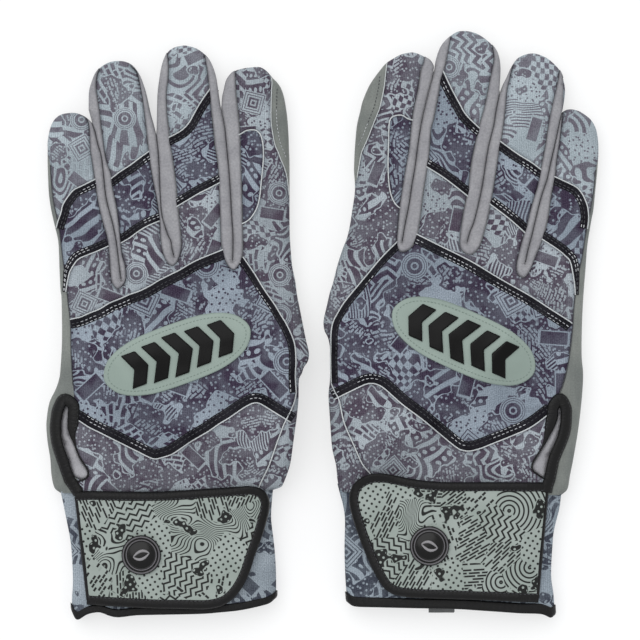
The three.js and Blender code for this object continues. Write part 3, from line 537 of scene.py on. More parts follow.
class Glove:
    """Shape of one glove: its outline, its heights, and where its points and pieces go."""

    def __init__(self, data):
        self.data, self.side, self.sign = data, data["side"], data["sign"]
        self.fold, axis = mm(data["fold"]), mm(data["thumb_axis"])
        self.up = left_of(*self.fold)
        self.wrist_v = mm(data["wrist"])[:, 1].mean()
        self.root, self.tip = axis.mean(0), mm(data["thumb_tip"])[0]
        strap_ends = mm([data["strap"][0], data["strap"][-1]])
        self.sewn, self.away = strap_ends.mean(0), left_of(*strap_ends)
        self.bends = {
            "fingers": self.span(self.fold.mean(0), self.up, -9, 9, 0),
            "thumb": self.span(self.root, left_of(axis[1], axis[0]), -3, 7, 8),
            "strap": self.span(self.sewn, self.away, 1, 15, 15),
        }
        self.rim = self.finger_rim()
        self.wrist = resample(mm([data["palm_thumb"][-1], data["palm_pinky"][0]]), 1.5)[1:-1]
        self.outline = np.concatenate([self.rim, self.wrist])
        self.pinky_edge = spline(data["cuff_pinky"])[::-1]
        self.thumb_edge = spline(data["cuff_thumb"])[::-1]

    def finger_rim(self):
        """From the wrist up the pinky side, round the fingers and into each slit, and down the thumb side."""
        parts = [spline(self.data["palm_pinky"])]
        for tip, slit in zip(self.data["tips"], self.data["slits"] + [None]):
            parts.append(spline(tip))
            if slit:
                line = spline(slit)
                gap = np.outer(0.03 * (1 - np.linspace(0, 1, len(line)) ** 3) + 0.01, (1, 0))
                parts += [line - gap, (line + gap)[::-1]]
        rim = np.concatenate(parts + [spline(self.data["palm_thumb"])])
        return rim[np.concatenate([[True], np.hypot(*np.diff(rim, axis=0).T) > 0.2])]

    def beyond(self, p):
        """Distance past the knuckle fold, towards the fingertips."""
        return (p - self.fold[0]) @ self.up

    def lift(self, p):
        """How far the folded thumb raises the glove."""
        along = self.tip - self.root
        share = np.clip(((p - self.root) @ along) / (along @ along), 0, 1)
        near = np.hypot(*(p - self.root - share[:, None] * along).T)
        return 8.3 * (1 - smooth(near, 21, 41)) * smooth(-self.beyond(p), 3.5, 14)

    def height(self, p):
        """Full height of the empty glove, without the lift."""
        rise = smooth(-self.beyond(p), 0, 26)
        fall = smooth(self.wrist_v + 22 - p[:, 1], 0, 22)
        tip = smooth(self.beyond(p), 5, 45)
        return 13 + 4 * rise - 2.5 * fall - 1.5 * tip

    def depth(self, p):
        """Distance from the rim."""
        return distance(p, [self.rim])

    def top(self, p, depth=None):
        """Upper surface."""
        depth = self.depth(p) if depth is None else depth
        reach = 8.5 + 15 * smooth(-self.beyond(p), -5, 30)
        full = self.height(p)
        wrinkle = 0.55 * ripple(p, 19, self.sign * 3.1) + 0.22 * ripple(p, 7.5, self.sign * 9.7)
        level = full * (MIDDLE + (1 - MIDDLE) * crown(depth / reach))
        return level + self.lift(p) + wrinkle * crown(depth / 6)

    def bottom(self, p, depth=None):
        """Palm side."""
        depth = self.depth(p) if depth is None else depth
        reach = 6 + 8 * smooth(-self.beyond(p), -5, 30)
        inward = 1 - (1 - np.clip(depth / reach, 0, 1)) ** ROUND
        level = MIDDLE * self.height(p) * (1 - np.minimum(1, 1.08 * inward ** 0.25))
        return level + 0.55 + self.lift(p)

    def cuff_span(self, v):
        """The cuff's two edges at a height of the plane."""
        return tuple(np.interp(v, edge[:, 1], edge[:, 0]) for edge in (self.pinky_edge, self.thumb_edge))

    def cuff_top(self, p):
        low, high = self.cuff_span(p[:, 1])
        t = np.clip(np.abs(p[:, 0] - (low + high) / 2) / ((high - low) / 2), 0, 0.992)
        share = MIDDLE + (1 - MIDDLE) * (1 - t ** ROUND) ** (1 / ROUND)
        return share * self.height(p) + self.lift(p)

    def place(self, p, z):
        """Points of the frame, in metres."""
        x = self.sign * p[:, 0] + SHIFT[0]
        return np.stack([x, p[:, 1] + SHIFT[1], np.broadcast_to(z, len(p))], 1) / 1000

    def span(self, at, way, first, last, z):
        """Where a bend starts and where it ends, as points of the frame."""
        return [Vector(self.place(np.array([at + reach * way]), z)[0]) for reach in (first, last)]

    def bend(self, obj, body, slot=None, *nodes):
        """Bake a piece's placement into its mesh and hide the solids that it stands for."""
        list(self.bends[body])
        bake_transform(obj)
        self.note(obj, slot, nodes)

    def ride(self, obj, body, slot=None, *nodes):
        """Let a piece move with one body."""
        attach(obj, f"{self.side}_{body}")
        self.note(obj, slot, nodes)

    def note(self, obj, slot, nodes):
        """Hide the solids that a piece stands for; its material slot is not used."""
        if nodes:
            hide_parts(*[f"{self.side}_{node}" for node in nodes])


def build(g, name, p, z, faces, mat, uv=None, slots=None, seam=None):
    """Mesh object from plane points and heights in millimetres."""
    faces = np.asarray(faces)[:, ::g.sign]
    mesh = bpy.data.meshes.new(f"{g.side}_{name}")
    mesh.from_pydata(g.place(np.asarray(p), np.maximum(z, LEAST)).tolist(), [], faces.tolist())
    flat = (np.asarray(p if uv is None else uv) / 100)[faces.ravel()]
    mesh.uv_layers.new(name="UVMap").data.foreach_set("uv", flat.astype(np.float32).ravel())
    for m in mat if isinstance(mat, list) else [mat]:
        mesh.materials.append(m)
    if slots is not None:
        mesh.polygons.foreach_set("material_index", np.asarray(slots, int))
    mesh.polygons.foreach_set("use_smooth", np.full(len(mesh.polygons), True))
    if seam is not None:
        # The seam attribute holds painted shade: darker at turned-down seams and round the wrist slit's
        # lining
        values = np.asarray(seam, np.float32)
        mesh.attributes.new("seam", "FLOAT", "POINT").data.foreach_set("value", values)
    mesh.update()
    obj = bpy.data.objects.new(f"{g.side}_{name}", mesh)
    bpy.context.collection.objects.link(obj)
    return obj


def seam_distance(verts, faces, depth=None):
    """Distance from each vertex to the patch's own rim; with depths, the glove's outer rim is left out."""
    edges = np.array(rim_edges(faces))
    if depth is not None:
        edges = edges[(depth[edges] > 0.05).any(1)]
    if not len(edges):
        return np.full(len(verts), 9.0)
    return distance(verts, [verts[e] for e in edges])


def patch(g, name, verts, faces, top, mat, drop=0.8, reach=2.2):
    """Part of a flat triangulation as a piece of its own, with its edges turned down and painted shade along
    them.
    """
    used, faces = np.unique(faces, return_inverse=True)
    faces = faces.reshape(-1, 3)
    p = verts[used]
    z, near = top(p, faces)
    # Painted shade towards the piece's own seams, kept in the seam attribute
    seam = (1 - smooth(near, 0, reach)) ** 1.5
    edges = rim_edges(faces)
    ring = np.unique(edges)
    below = {v: len(p) + i for i, v in enumerate(ring.tolist())}
    again = {v: len(p) + len(ring) + i for i, v in enumerate(ring.tolist())}
    skirt = []
    for a, b in edges:
        skirt += [(again[b], again[a], below[a]), (again[b], below[a], below[b])]
    every = [np.concatenate([part, part[ring], part[ring]]) for part in (p, z, seam)]
    every[1][len(p):len(p) + len(ring)] -= drop
    return build(g, name, every[0], every[1], np.concatenate([faces, skirt]), mat, seam=every[2])


def slab(g, name, verts, faces, top, bottom, mat):
    """Sheet with a top, an underside and a wall between; of two materials the first is for the top alone."""
    n = len(verts)
    wall = [t for a, b in rim_edges(faces) for t in ((b, a, a + n), (b, a + n, b + n))]
    every = np.concatenate([faces, faces[:, ::-1] + n, wall])
    slots = np.arange(len(every)) >= len(faces) if isinstance(mat, list) else None
    return build(g, name, np.tile(verts, (2, 1)), np.concatenate([top, bottom]), every, mat, slots=slots)


def ring_faces(rings, count):
    """Triangles between closed rings of points, each ring joined to the next."""
    faces = []
    for i in range(0, (rings - 1) * count, count):
        for j in range(count):
            a, b = i + j, i + (j + 1) % count
            faces += [(a, a + count, b + count), (a, b + count, b)]
    return faces


def ribbon(g, name, line, half, thick, height, rise, mat, sides=8, square=2):
    """Band along a line that follows the surface below it, with a rounded section."""
    n = normals(line)
    turns = np.linspace(0, 2 * math.pi, sides, endpoint=False)
    out = np.max(half) * squared(np.cos(turns), square)
    upward = thick * squared(np.sin(turns), square)
    grow = np.broadcast_to(half, len(line)) / np.max(half)
    p = (line[:, None, :] + grow[:, None, None] * out[None, :, None] * n[:, None, :]).reshape(-1, 2)
    z = height(p) + rise + (grow[:, None] * upward).ravel()
    around = 2 * np.max(half) + 2 * thick
    uv = np.stack([np.repeat(runs_of(line), sides), np.tile(turns / (2 * math.pi) * around, len(line))], 1)
    end = len(line) * sides - 1
    faces = ring_faces(len(line), sides)
    faces += [(0, k, k + 1) for k in range(1, sides - 1)]
    faces += [(end, end - k, end - k - 1) for k in range(1, sides - 1)]
    return build(g, name, p, z, faces, mat, uv=uv)


def stitches(g, name, lines, height, rise, mat, pitch=1.9, length=1.25, radius=0.2, keep=None):
    """Rows of short threads that lie along lines."""
    turns = np.linspace(0, 2 * math.pi, 6, endpoint=False)
    sections = np.array([(-0.5, 0.25, -0.16), (-0.36, 0.85, 0), (0.36, 0.85, 0), (0.5, 0.25, -0.16)])
    share, width, sink = sections.T[:, :, None]
    points, heights = [], []
    rng = random.Random(name)
    for line in lines:
        row = resample(line, pitch)
        middle, way = (row[:-1] + row[1:]) / 2, np.diff(row, axis=0)
        if keep is not None:
            chosen = keep(middle)
            middle, way = middle[chosen], way[chosen]
        if not len(middle):
            continue
        way /= np.hypot(*way.T)[:, None] + 1e-12
        across = np.stack([-way[:, 1], way[:, 0]], 1)
        back, front = height(middle - way * length / 2), height(middle + way * length / 2)
        tilt = np.array([rng.uniform(-0.12, 0.12) for _ in middle])
        off = radius * width * np.cos(turns) + tilt[:, None, None] * share
        block = middle[:, None, None] + way[:, None, None] * (share * length)[..., None]
        points.append((block + across[:, None, None] * off[..., None]).reshape(-1, 2))
        base = back[:, None, None] + (front - back)[:, None, None] * (share + 0.5)
        heights.append((base + rise + sink + radius * width * np.sin(turns)).ravel())
    points = np.concatenate(points)
    count, last = len(turns), (len(sections) - 1) * len(turns)
    thread = ring_faces(len(sections), count)
    for j in range(1, count - 1):
        thread += [(0, j, j + 1), (last, last + j + 1, last + j)]
    faces = np.arange(0, len(points), last + count)[:, None, None] + np.array(thread)
    return build(g, name, points, np.concatenate(heights), faces.reshape(-1, 3), mat)


def tube(g, name, stations, mat, slots=None, capped=False):
    """Skin through stations of (points, heights), each a closed ring in the plane."""
    count = len(stations[0][0])
    faces = [(a, c, b) for a, b, c in ring_faces(len(stations), count)]
    last = (len(stations) - 1) * count
    if capped:
        faces += [(last, last + k, last + k + 1) for k in range(1, count - 1)]
    p, z = (np.concatenate(part) for part in zip(*stations))
    return build(g, name, p, z, faces, mat, slots=slots)


def linear(r, g, b):
    """Linear colour of an 8-bit display colour, less the little that the white world adds by its shine."""
    seen = (c / 255 / 12.92 if c <= 10 else ((c / 255 + 0.055) / 1.055) ** 2.4 for c in (r, g, b))
    return tuple(max(0.0025, c - 0.009) for c in seen) + (1.0,)


class Value:
    """Output of a node, for sums written as with plain numbers."""

    def __init__(self, nodes, socket):
        self.nodes, self.socket = nodes, socket

    def sum(self, kind, *others):
        simple = self.socket.type == "VALUE"
        return (self.nodes.math if simple else self.nodes.vector)(kind, self, *others)

    def __add__(self, other):
        return self.sum("ADD", other)

    def __sub__(self, other):
        return self.sum("SUBTRACT", other)

    def __mul__(self, other):
        if self.socket.type != "VALUE" and not isinstance(other, tuple):
            other = (other,) * 3
        return self.sum("MULTIPLY", other)

    def __truediv__(self, other):
        return self.sum("DIVIDE", other)

    def __rsub__(self, other):
        return self.nodes.math("SUBTRACT", other, self)

    def __abs__(self):
        return self.sum("ABSOLUTE")

    __radd__, __rmul__ = __add__, __mul__


class Nodes:
    """Small helper that writes node trees."""

    def __init__(self, tree):
        self.tree = tree

    def node(self, kind, inputs=(), **settings):
        made = self.tree.nodes.new(kind)
        for key, value in settings.items():
            setattr(made, key, value)
        for key, value in dict(inputs).items():
            self.put(made.inputs[key], value)
        return made

    def put(self, socket, value):
        value = getattr(value, "socket", value)
        if isinstance(value, bpy.types.NodeSocket):
            self.tree.links.new(value, socket)
        else:
            socket.default_value = value

    def made(self, kind, inputs=(), output=0, **settings):
        """One output of a new node."""
        return Value(self, self.node(kind, inputs, **settings).outputs[output])

    def math(self, kind, *values):
        return self.made("ShaderNodeMath", enumerate(values), operation=kind)

    def vector(self, kind, *values):
        output = "Value" if kind == "LENGTH" else 0
        return self.made("ShaderNodeVectorMath", enumerate(values), output, operation=kind)

    def mix(self, share, a, b, kind="MIX"):
        inputs = {0: share, 6: a, 7: b}
        return self.made("ShaderNodeMix", inputs, 2, data_type="RGBA", blend_type=kind)

    def toned(self, share, base, dark, light):
        """The base times a dark colour, or times a light one as the share grows."""
        low, high = (self.mix(1.0, base, (*tone, 1), "MULTIPLY") for tone in (dark, light))
        return self.mix(share, low, high)

    def turned(self, p, angle):
        inputs = {"Vector": p, "Angle": angle}
        return self.made("ShaderNodeVectorRotate", inputs, rotation_type="Z_AXIS")

    def noise(self, p, scale, detail=3.0, rough=0.5, output=0):
        inputs = {"Vector": p, "Scale": scale, "Detail": detail, "Roughness": rough}
        return self.made("ShaderNodeTexNoise", inputs, output)

    def split(self, p):
        made = self.node("ShaderNodeSeparateXYZ", {0: p})
        return Value(self, made.outputs[0]), Value(self, made.outputs[1])

    def join(self, x, y):
        return self.made("ShaderNodeCombineXYZ", {0: x, 1: y})

    def step(self, value, edge, soft):
        """0 below the edge and 1 above it, with a soft change; the other way round when soft is negative."""
        inputs = {0: value, 1: edge - soft, 2: edge + soft}
        return self.made("ShaderNodeMapRange", inputs, interpolation_type="SMOOTHSTEP")


class Shader(Nodes):
    """Material with one principled surface."""

    def __init__(self, name, roughness, sheen=0.0, specular=0.4):
        self.mat = bpy.data.materials.new(name)
        self.mat.use_nodes = True
        super().__init__(self.mat.node_tree)
        self.bsdf = self.tree.nodes["Principled BSDF"]
        self.bsdf.inputs["Roughness"].default_value = roughness
        self.bsdf.inputs["Specular IOR Level"].default_value = specular
        self.bsdf.inputs["Sheen Weight"].default_value = sheen

    def place(self, shift=(0, 0)):
        """Surface coordinates in millimetres."""
        return self.made("ShaderNodeUVMap", uv_map="UVMap") * 100.0 + (*shift, 0.0)

    def painted_seam_shade(self, base):
        """Painted shade: darker where a piece is pulled down at its seams, as the seam attribute sets."""
        edge = self.made("ShaderNodeAttribute", output="Fac", attribute_name="seam")
        return self.toned(edge * 0.7, base, (1, 1, 1), (0.45, 0.44, 0.47))

    def finish(self, base, height, strength, distance):
        """The material with its colour and a fine bump."""
        inputs = {"Strength": strength, "Distance": distance, "Height": height}
        self.put(self.bsdf.inputs["Normal"], self.made("ShaderNodeBump", inputs))
        self.put(self.bsdf.inputs["Base Color"], base)
        return self.mat


def cells(value, size):
    """Place in a row of cells, from -0.5 to 0.5 in each."""
    return (value / size).sum("FRACT") - 0.5


def wave(s, value, pitch, width=0.0):
    """Bars across a value, 1 on a bar."""
    return s.step((value * (2 * math.pi / pitch)).sum("SINE"), width, 0.25)


def patches(s, p, size, scatter=1.0):
    """Scattered cells: two random numbers for each, and the place from its centre, turned at random."""
    inputs = {"Vector": p * (1 / size), "Scale": 1.0, "Randomness": scatter}
    found = s.node("ShaderNodeTexVoronoi", inputs, voronoi_dimensions="2D", feature="F1")
    colour = s.node("ShaderNodeSeparateColor", {0: found.outputs["Color"]})
    first, second, third = (Value(s, output) for output in colour.outputs)
    local = p - Value(s, found.outputs["Position"]) * size
    return (second, third), s.turned(local, first * (2 * math.pi))


def strokes(s, x, y, length, width, keep):
    """Short blocks in shifted rows."""
    row = (y / width).sum("FLOOR")
    column = x / length + row * 0.37
    inputs = {"Vector": s.join(row, column.sum("FLOOR"))}
    luck = s.made("ShaderNodeTexWhiteNoise", inputs, "Value", noise_dimensions="2D")
    in_row = s.step(abs(cells(y, width)), 0.3, -0.06)
    in_line = s.step(abs(column.sum("FRACT") - 0.5), 0.42, -0.04)
    return in_row * in_line * s.step(luck, 1 - keep, 0.01)


def zigzag(s, x, y, step, reach, pitch, width):
    """Bars that turn to and fro."""
    return wave(s, x + abs(cells(y, step)) * reach, pitch, width)


def arcs(s, q, centre, pitch, width):
    """Bars round a centre."""
    return wave(s, (q + (*centre, 0.0)).sum("LENGTH"), pitch, width)


def picked(number, count, motifs):
    """The one of the motifs that a random number picks."""
    pick = (number * (count - 0.001)).sum("FLOOR")
    return sum(pick.sum("COMPARE", float(i), 0.5) * motif for i, motif in enumerate(motifs))


def blotted(s, ink, field, edge, halo, soft, marks):
    """Solid blots with their own pale marks, and a clear line round each blot."""
    ink = ink * (1.0 - s.step(field, halo, soft))
    return s.math("MAXIMUM", ink, s.step(field, edge, soft) * (1.0 - marks))


def stamp(s, measure, size, bands):
    """Ink between pairs of distances, and the whole form, which clears what lies under it."""
    ink = 0.0
    for inner, outer in bands:
        band = s.step(measure, outer * size, -0.12)
        if inner:
            band = band * s.step(measure, inner * size, 0.12)
        ink = band + ink
    return ink, s.step(measure, (bands[-1][1] + 0.1) * size, -0.12)


def collage(s, p, cell, fine, blot, weight):
    """Overprinted patches of turned motifs, with blots and stamps laid over them."""
    drift = s.noise(p, 0.06, 1.0, output="Color")
    (pick, opened), q = patches(s, p + (drift - (0.5, 0.5, 0.5)) * 9.0, cell)
    x, y = s.split(q)
    contour = s.noise(p, 0.055, 1.0)
    dots = s.step(patches(s, p, 2.5 * fine)[1].sum("LENGTH"), 0.5 * fine, -0.1)
    lane = cells(y, 7.2 * fine)
    bead = s.join(cells(x, 3.4 * fine) * (3.4 * fine), lane * (7.2 * fine)).sum("LENGTH")
    banner = s.step(abs(lane), 0.33, -0.015) * (1.0 - s.step(bead, 1.05 * fine, -0.1))
    motifs = (
        wave(s, x, 5.8 * fine, -0.1 - weight),
        banner,
        dots,
        arcs(s, q, (9.0, 2.0), 4.4 * fine, -0.05 - weight),
        zigzag(s, x, y, 8.0 * fine, 7.0 * fine, 4.6 * fine, -0.05 - weight),
        wave(s, contour * 60.0, 4.2, 0.1 - weight),
        wave(s, x, 1.5 * fine, 0.15 - weight),
        strokes(s, x, y, 5.2 * fine, 3.1 * fine, 0.8),
        abs(wave(s, x, 5.0 * fine) - wave(s, y, 5.0 * fine)),
        banner,
    )
    ink = picked(pick, len(motifs), motifs) * s.step(opened, 0.1, 0.01)
    field = s.noise(p + (57.0, 23.0, 0.0), 0.075, 2.0)
    deep = s.step(contour, 0.5, 0.02) * s.step(field, blot + 0.05, 0.008)
    dashes = strokes(s, x, y, 3.4 * fine, 1.6 * fine, 0.8) * deep
    marks = s.math("MAXIMUM", dashes, dots * s.step(field, blot + 0.01, 0.004)) * 0.85
    ink = blotted(s, ink, field, blot, blot - 0.02, 0.004, marks)
    (kind, _), spot = patches(s, p + (11.0, 7.0, 0.0), 21.0 * fine, 0.7)
    wide, tall = (abs(part) for part in s.split(spot))
    size = 5.2 * fine
    rings = ((0, 0.2), (0.34, 0.66), (0.8, 0.86), (0.98, 1.04))
    frames = ((0, 0.16), (0.3, 0.5), (0.66, 0.74), (0.92, 1.0))
    stamps = (
        (0.05, 0.13, spot.sum("LENGTH"), rings),
        (0.4, 0.5, s.math("MAXIMUM", wide, tall), frames),
        (0.7, 0.98, s.math("MAXIMUM", tall, wide * 0.45), ((0, 0.52),)),
    )
    for low, high, measure, bands in stamps:
        mark, whole = stamp(s, measure, size, bands)
        here = whole * kind.sum("COMPARE", (low + high) / 2, (high - low) / 2)
        ink = ink + (mark - ink) * here
    return ink


def weave(s, p, pitch):
    """Knitted mesh: small dimples in staggered rows."""
    x, y = s.split(s.turned(p, 0.6) * (2 * math.pi / pitch))
    return x.sum("SINE") * y.sum("SINE")


def print_fabric(name, ground, ink, cell, shift, amount, fine, blot, weight):
    """Knitted fabric with the collage printed on it in one ink, worn thin in places."""
    s = Shader(name, roughness=0.9, sheen=0.03, specular=0.1)
    p = s.place(shift)
    speckle = s.noise(p, 1.9, 1.0, 0.7)
    knit = weave(s, p, 0.95)
    column = (s.split(s.place())[0] * (2 * math.pi / 0.9)).sum("SINE")
    low, high = (linear(*[c + change for c in ground]) for change in (-9, 9))
    tone = s.mix(s.step(s.noise(p, 0.04, 2.0), 0.5, 0.14), low, high)
    worn = s.step(s.noise(p, 0.11, 3.0), 0.5, 0.1) * (0.2 * amount) + 0.8 * amount
    base = s.mix(collage(s, p, cell, fine, blot, weight) * worn, tone, linear(*ink))
    grain = knit * 0.2 + (speckle - 0.5) * 2.6 + column * 0.15 + 0.5
    darker, lighter = (s.mix(1.0, base, (k, k, k, 1), "MULTIPLY") for k in (0.7, 1.22))
    base = s.mix(grain, darker, s.mix(0.05, lighter, (0.5, 0.5, 0.5, 1)))
    return s.finish(s.painted_seam_shade(base), knit * 0.6 + speckle, 0.35, 0.00025)


def leather(name, dark, pale):
    """Cloudy leather with pores and long fine creases."""
    s = Shader(name, roughness=0.62, sheen=0.03, specular=0.2)
    p = s.place()
    pores = s.noise(p, 1.6, 4.0, 0.65)
    creased = s.noise(p * (0.5, 0.09, 1.0), 1.0)
    base = s.mix(s.step(s.noise(p, 0.05, 2.0), 0.5, 0.25), linear(*dark), linear(*pale))
    grain = (pores - 0.5) * 2.2 + (creased - 0.5) * 0.9 + 0.5
    base = s.toned(grain, base, (0.8, 0.8, 0.8), (1.17, 1.17, 1.15))
    return s.finish(s.painted_seam_shade(base), pores + creased * 1.5, 0.35, 0.0003)


def plain_fabric(name, dark, pale, pitch=0.55, roughness=0.9, sheen=0.05, strength=0.4, speckle=0.4):
    """Cloudy knitted fabric of one colour, for tapes, threads and linings too."""
    s = Shader(name, roughness=roughness, sheen=sheen, specular=0.12)
    p = s.place()
    knit = weave(s, p, pitch)
    base = s.mix(s.step(s.noise(p, 0.12), 0.5, 0.25), linear(*dark), linear(*pale))
    base = s.mix(s.step(knit, 0.0, 0.8) * 0.18, base, linear(*[c * 0.85 for c in dark]))
    grain = (s.noise(p, 1.1, 2.0, 0.6) - 0.5) * (2.4 * speckle) + 0.5
    base = s.toned(grain, base, (0.84, 0.84, 0.84), (1.12, 1.12, 1.12))
    return s.finish(s.painted_seam_shade(base), knit + s.noise(p, 3.0, 2.0) * 1.5, strength, 0.00018)


def vinyl(name, colour):
    """Soft black binding with a low shine and fine creases across it."""
    s = Shader(name, roughness=0.42, specular=0.2)
    p = s.place()
    crease = s.noise(p * (0.9, 0.15, 1.0), 0.8, 4.0, 0.6)
    cloudy = s.step(s.noise(p, 0.25), 0.5, 0.2)
    base = s.mix(cloudy, linear(*[c * 0.8 for c in colour]), linear(*colour))
    return s.finish(base, crease * 3.0 + s.noise(p, 2.5, 2.0), 0.5, 0.00035)


def rubber(name, colour, roughness=0.45, grain=0.3, specular=0.3):
    """Moulded rubber of one colour."""
    s = Shader(name, roughness=roughness, specular=specular)
    p = s.place()
    base = s.mix(s.noise(p, 0.1) * 0.5, linear(*colour), linear(*[c * 0.88 for c in colour]))
    return s.finish(base, s.noise(p, 2.2), grain, 0.0001)


def strap_print(s, p):
    """Sparse black line work: rows of dots, thin strokes, contour lines, and a few solid blots."""
    (pick, _), q = patches(s, p, 15.0, 0.9)
    x, y = s.split(q)
    u, v = s.split(s.turned(p, 0.7))
    spot = s.join(cells(u, 2.3) * 2.3, cells(v, 2.3) * 2.3).sum("LENGTH")
    dots = s.step(spot, 0.5, -0.1)
    thin = strokes(s, x, y, 5.4, 1.25, 0.72)
    motifs = (
        dots,
        thin,
        dots,
        zigzag(s, x, y, 4.4, 3.6, 2.6, 0.35),
        wave(s, s.noise(p, 0.05, 1.0) * 52.0, 1.5, 0.45),
        strokes(s, y, x, 2.2, 1.5, 0.45),
        thin,
        arcs(s, q, (5.0, 3.0), 1.9, 0.4),
    )
    field = s.noise(p + (31.0, 87.0, 0.0), 0.1, 2.0)
    marks = dots * s.step(field, 0.65, 0.006)
    return blotted(s, picked(pick, len(motifs), motifs), field, 0.63, 0.61, 0.006, marks)


def strap_face(name, shift):
    """Pale green coated face of the strap with its black line work."""
    s = Shader(name, roughness=0.5, specular=0.15)
    p = s.turned(s.place(shift), 0.3)
    mask = strap_print(s, p)
    base = s.mix(s.step(s.noise(p, 0.07), 0.5, 0.2), linear(142, 151, 145), linear(154, 162, 157))
    base = s.mix(mask * 0.97, base, linear(22, 25, 24))
    return s.finish(base, s.noise(p, 2.5) + mask * 1.2, 0.35, 0.00015)


LEATHER = leather("palm_leather", (106, 110, 108), (128, 131, 127))
HEEL = leather("heel_leather", (92, 96, 95), (112, 116, 113))
GUSSET = plain_fabric("gusset_fabric", (145, 144, 148), (160, 159, 162), 0.75, speckle=0.9)
BLACK = plain_fabric("black_trim", (30, 29, 33), (46, 45, 50), 0.7, 0.8, 0.0)
BINDING = vinyl("black_binding", (27, 27, 29))
WHITE = plain_fabric("white_piping", (190, 194, 195), (210, 213, 214), 0.5, 0.6, 0.0)
# Pale silver thread: the real thread of the heel and thumb seams, and painted glints on the band and index
# stitches
THREAD_AND_GLINT = plain_fabric("silver_thread_and_glint", (170, 172, 175), (214, 216, 218), 0.4, 0.4, 0.0)
DULL = plain_fabric("dark_thread", (66, 67, 70), (88, 89, 92), 0.4, 0.6, 0.0)
LINING = plain_fabric("lining", (158, 157, 161), (182, 181, 184), 0.8)
CUFF_LINING = plain_fabric("cuff_lining", (74, 76, 82), (92, 94, 100), 0.8)
LABEL = plain_fabric("label", (116, 117, 117), (128, 129, 129), 0.6)
SILVER = rubber("badge_silver", (138, 136, 138), 0.3, 0.15)
# Paler rubber for the crests of the badge's rings: a painted highlight
CREST_HIGHLIGHT = rubber("badge_crest_highlight", (92, 90, 93), 0.2, 0.1)
SAGE = rubber("emblem_rubber", (142, 156, 148))
SAGE_THREAD = rubber("sage_thread", (120, 134, 126), 0.6)
RELIEF = rubber("emblem_relief", (24, 23, 20), 0.3, 0.15, 0.1)
BADGE = rubber("badge_rubber", (24, 25, 28), 0.2, 0.1, 0.2)
HOOK = plain_fabric("hook_tape", (60, 60, 64), (80, 80, 84), 0.9, 0.6, 0.0, 0.9)
LOOP = plain_fabric("loop_tape", (120, 120, 125), (140, 140, 145), 1.1, 0.95, 0.4, 0.8)
UNDER = plain_fabric("strap_lining", (64, 64, 67), (84, 84, 88), 0.8, 0.9, 0.1)
TIP_GROUND, TIP_INK = (157, 167, 173), (89, 81, 93)
LIGHT_GROUND, LIGHT_INK = (153, 161, 167), (75, 66, 79)
DARK_GROUND, DARK_INK = (137, 147, 158), (55, 46, 64)
CUFF_INK = (54, 58, 70)


def prints(side, tips, light, dark, cuff, strap, cuff_ground, cuff_weight):
    """One glove's printed fabrics, each at its own place in the pattern."""
    def fabric(name, ground, ink, cell, shift, *rest):
        return print_fabric(f"{name}_{side}", ground, ink, cell, shift, *rest)

    return {
        "tips": fabric("print_tips", TIP_GROUND, TIP_INK, 13.0, tips, 0.9, 0.8, 0.59, 0.0),
        "light": fabric("print_light", LIGHT_GROUND, LIGHT_INK, 13.0, light, 1.0, 0.8, 0.51, 0.3),
        "dark": fabric("print_dark", DARK_GROUND, DARK_INK, 16.0, dark, 1.0, 0.95, 0.5, 0.25),
        "cuff": fabric("cuff_print", cuff_ground, CUFF_INK, 16.0, cuff, 0.97, 0.95, 0.57, cuff_weight),
        "strap": strap_face(f"strap_face_{side}", strap),
    }


LOOKS = {
    "left": prints("left", (13, 5), (61, 19), (31, 47), (3, 71), (9, 4), (141, 150, 158), 0.2),
    "right": prints("right", (219, 135), (271, 88), (131, 147), (303, 91), (77, 61), (136, 146, 155), 0.25),
}


def crossing(line, axis, at):
    """Where a pixel line stands: its column at rows (axis 1) or its row at columns (axis 0)."""
    p = np.array(line)
    order = np.argsort(p[:, axis])
    return np.interp(at, p[order, axis], p[order, 1 - axis])


def zones_of(g, centres, slit, gussets):
    """Which piece each triangle of the glove's back belongs to."""
    d = g.data
    px, py = pixels(centres)

    def column(line):
        return crossing(line, 1, py)

    def row(line):
        return crossing(line, 0, px)

    in_gusset = [inside(centres, np.concatenate([e, [e[-1] + (0, 20), e[0] + (0, 20)]])) for e in gussets]
    finger = sum((px > column(line)).astype(int) for line in d["slits"])
    index = finger == 3
    past_edge = (400, d["index_leather"][-1][1] + 1)
    own_leather = index & (px > column(d["index_leather"] + [past_edge]))
    own_leather |= (finger == 0) & (py > d["pinky_seam"][0][1]) & (px < column(d["pinky_seam"]))
    free = ~own_leather & ~np.any(in_gusset, 0)
    below_knuckles = py > row(d["knuckle_line"])
    zone = np.full(len(centres), "leather", dtype=object)
    for i, name in enumerate(FINGERS):
        mine = free & (finger == i)
        above = mine & ~below_knuckles
        zone[above] = "knuckle_panel"
        zone[above & (py < row(d["lower_lines"][i]))] = f"{name}_flex"
        zone[mine & (py < row(d["upper_lines"][i]))] = f"{name}_back"
    index_top = index & (py < d["thumb_line"][1][1])
    body = free & below_knuckles & ~index_top
    zone[body] = "back_panel"
    zone[body & (py > row(d["wrist_line"]))] = "lower_back_panel"
    thumb_side = (px > column(d["thumb_line"])) & (finger >= 2) & (py > d["thumb_line"][0][1])
    zone[free & (index_top | thumb_side)] = "index_back"
    zone[free & index & inside(centres, spline(d["oval"], 0.8))] = "index_flex"
    for own, name in zip(in_gusset, GUSSETS):
        zone[own] = name
    zone[inside(centres, slit)] = "slit"
    return zone


def skin(g, verts, faces, zone):
    """Leather body: its upper skin under all the panels and the palm side, joined at the rim."""
    depth = g.depth(verts)
    top, low = g.top(verts, depth), g.bottom(verts, depth)
    shared = depth < 0.02
    lower = np.arange(len(verts)) + np.where(shared, 0, len(verts))
    both = np.concatenate([faces[zone != "slit"], lower[faces][:, ::-1]])
    z = np.concatenate([np.where(shared, (top + low) / 2, top), low])
    obj = build(g, "leather", np.tile(verts, (2, 1)), z, both, LEATHER)
    g.bend(obj, "fingers", "leather", "palm_leather", "finger_leather")


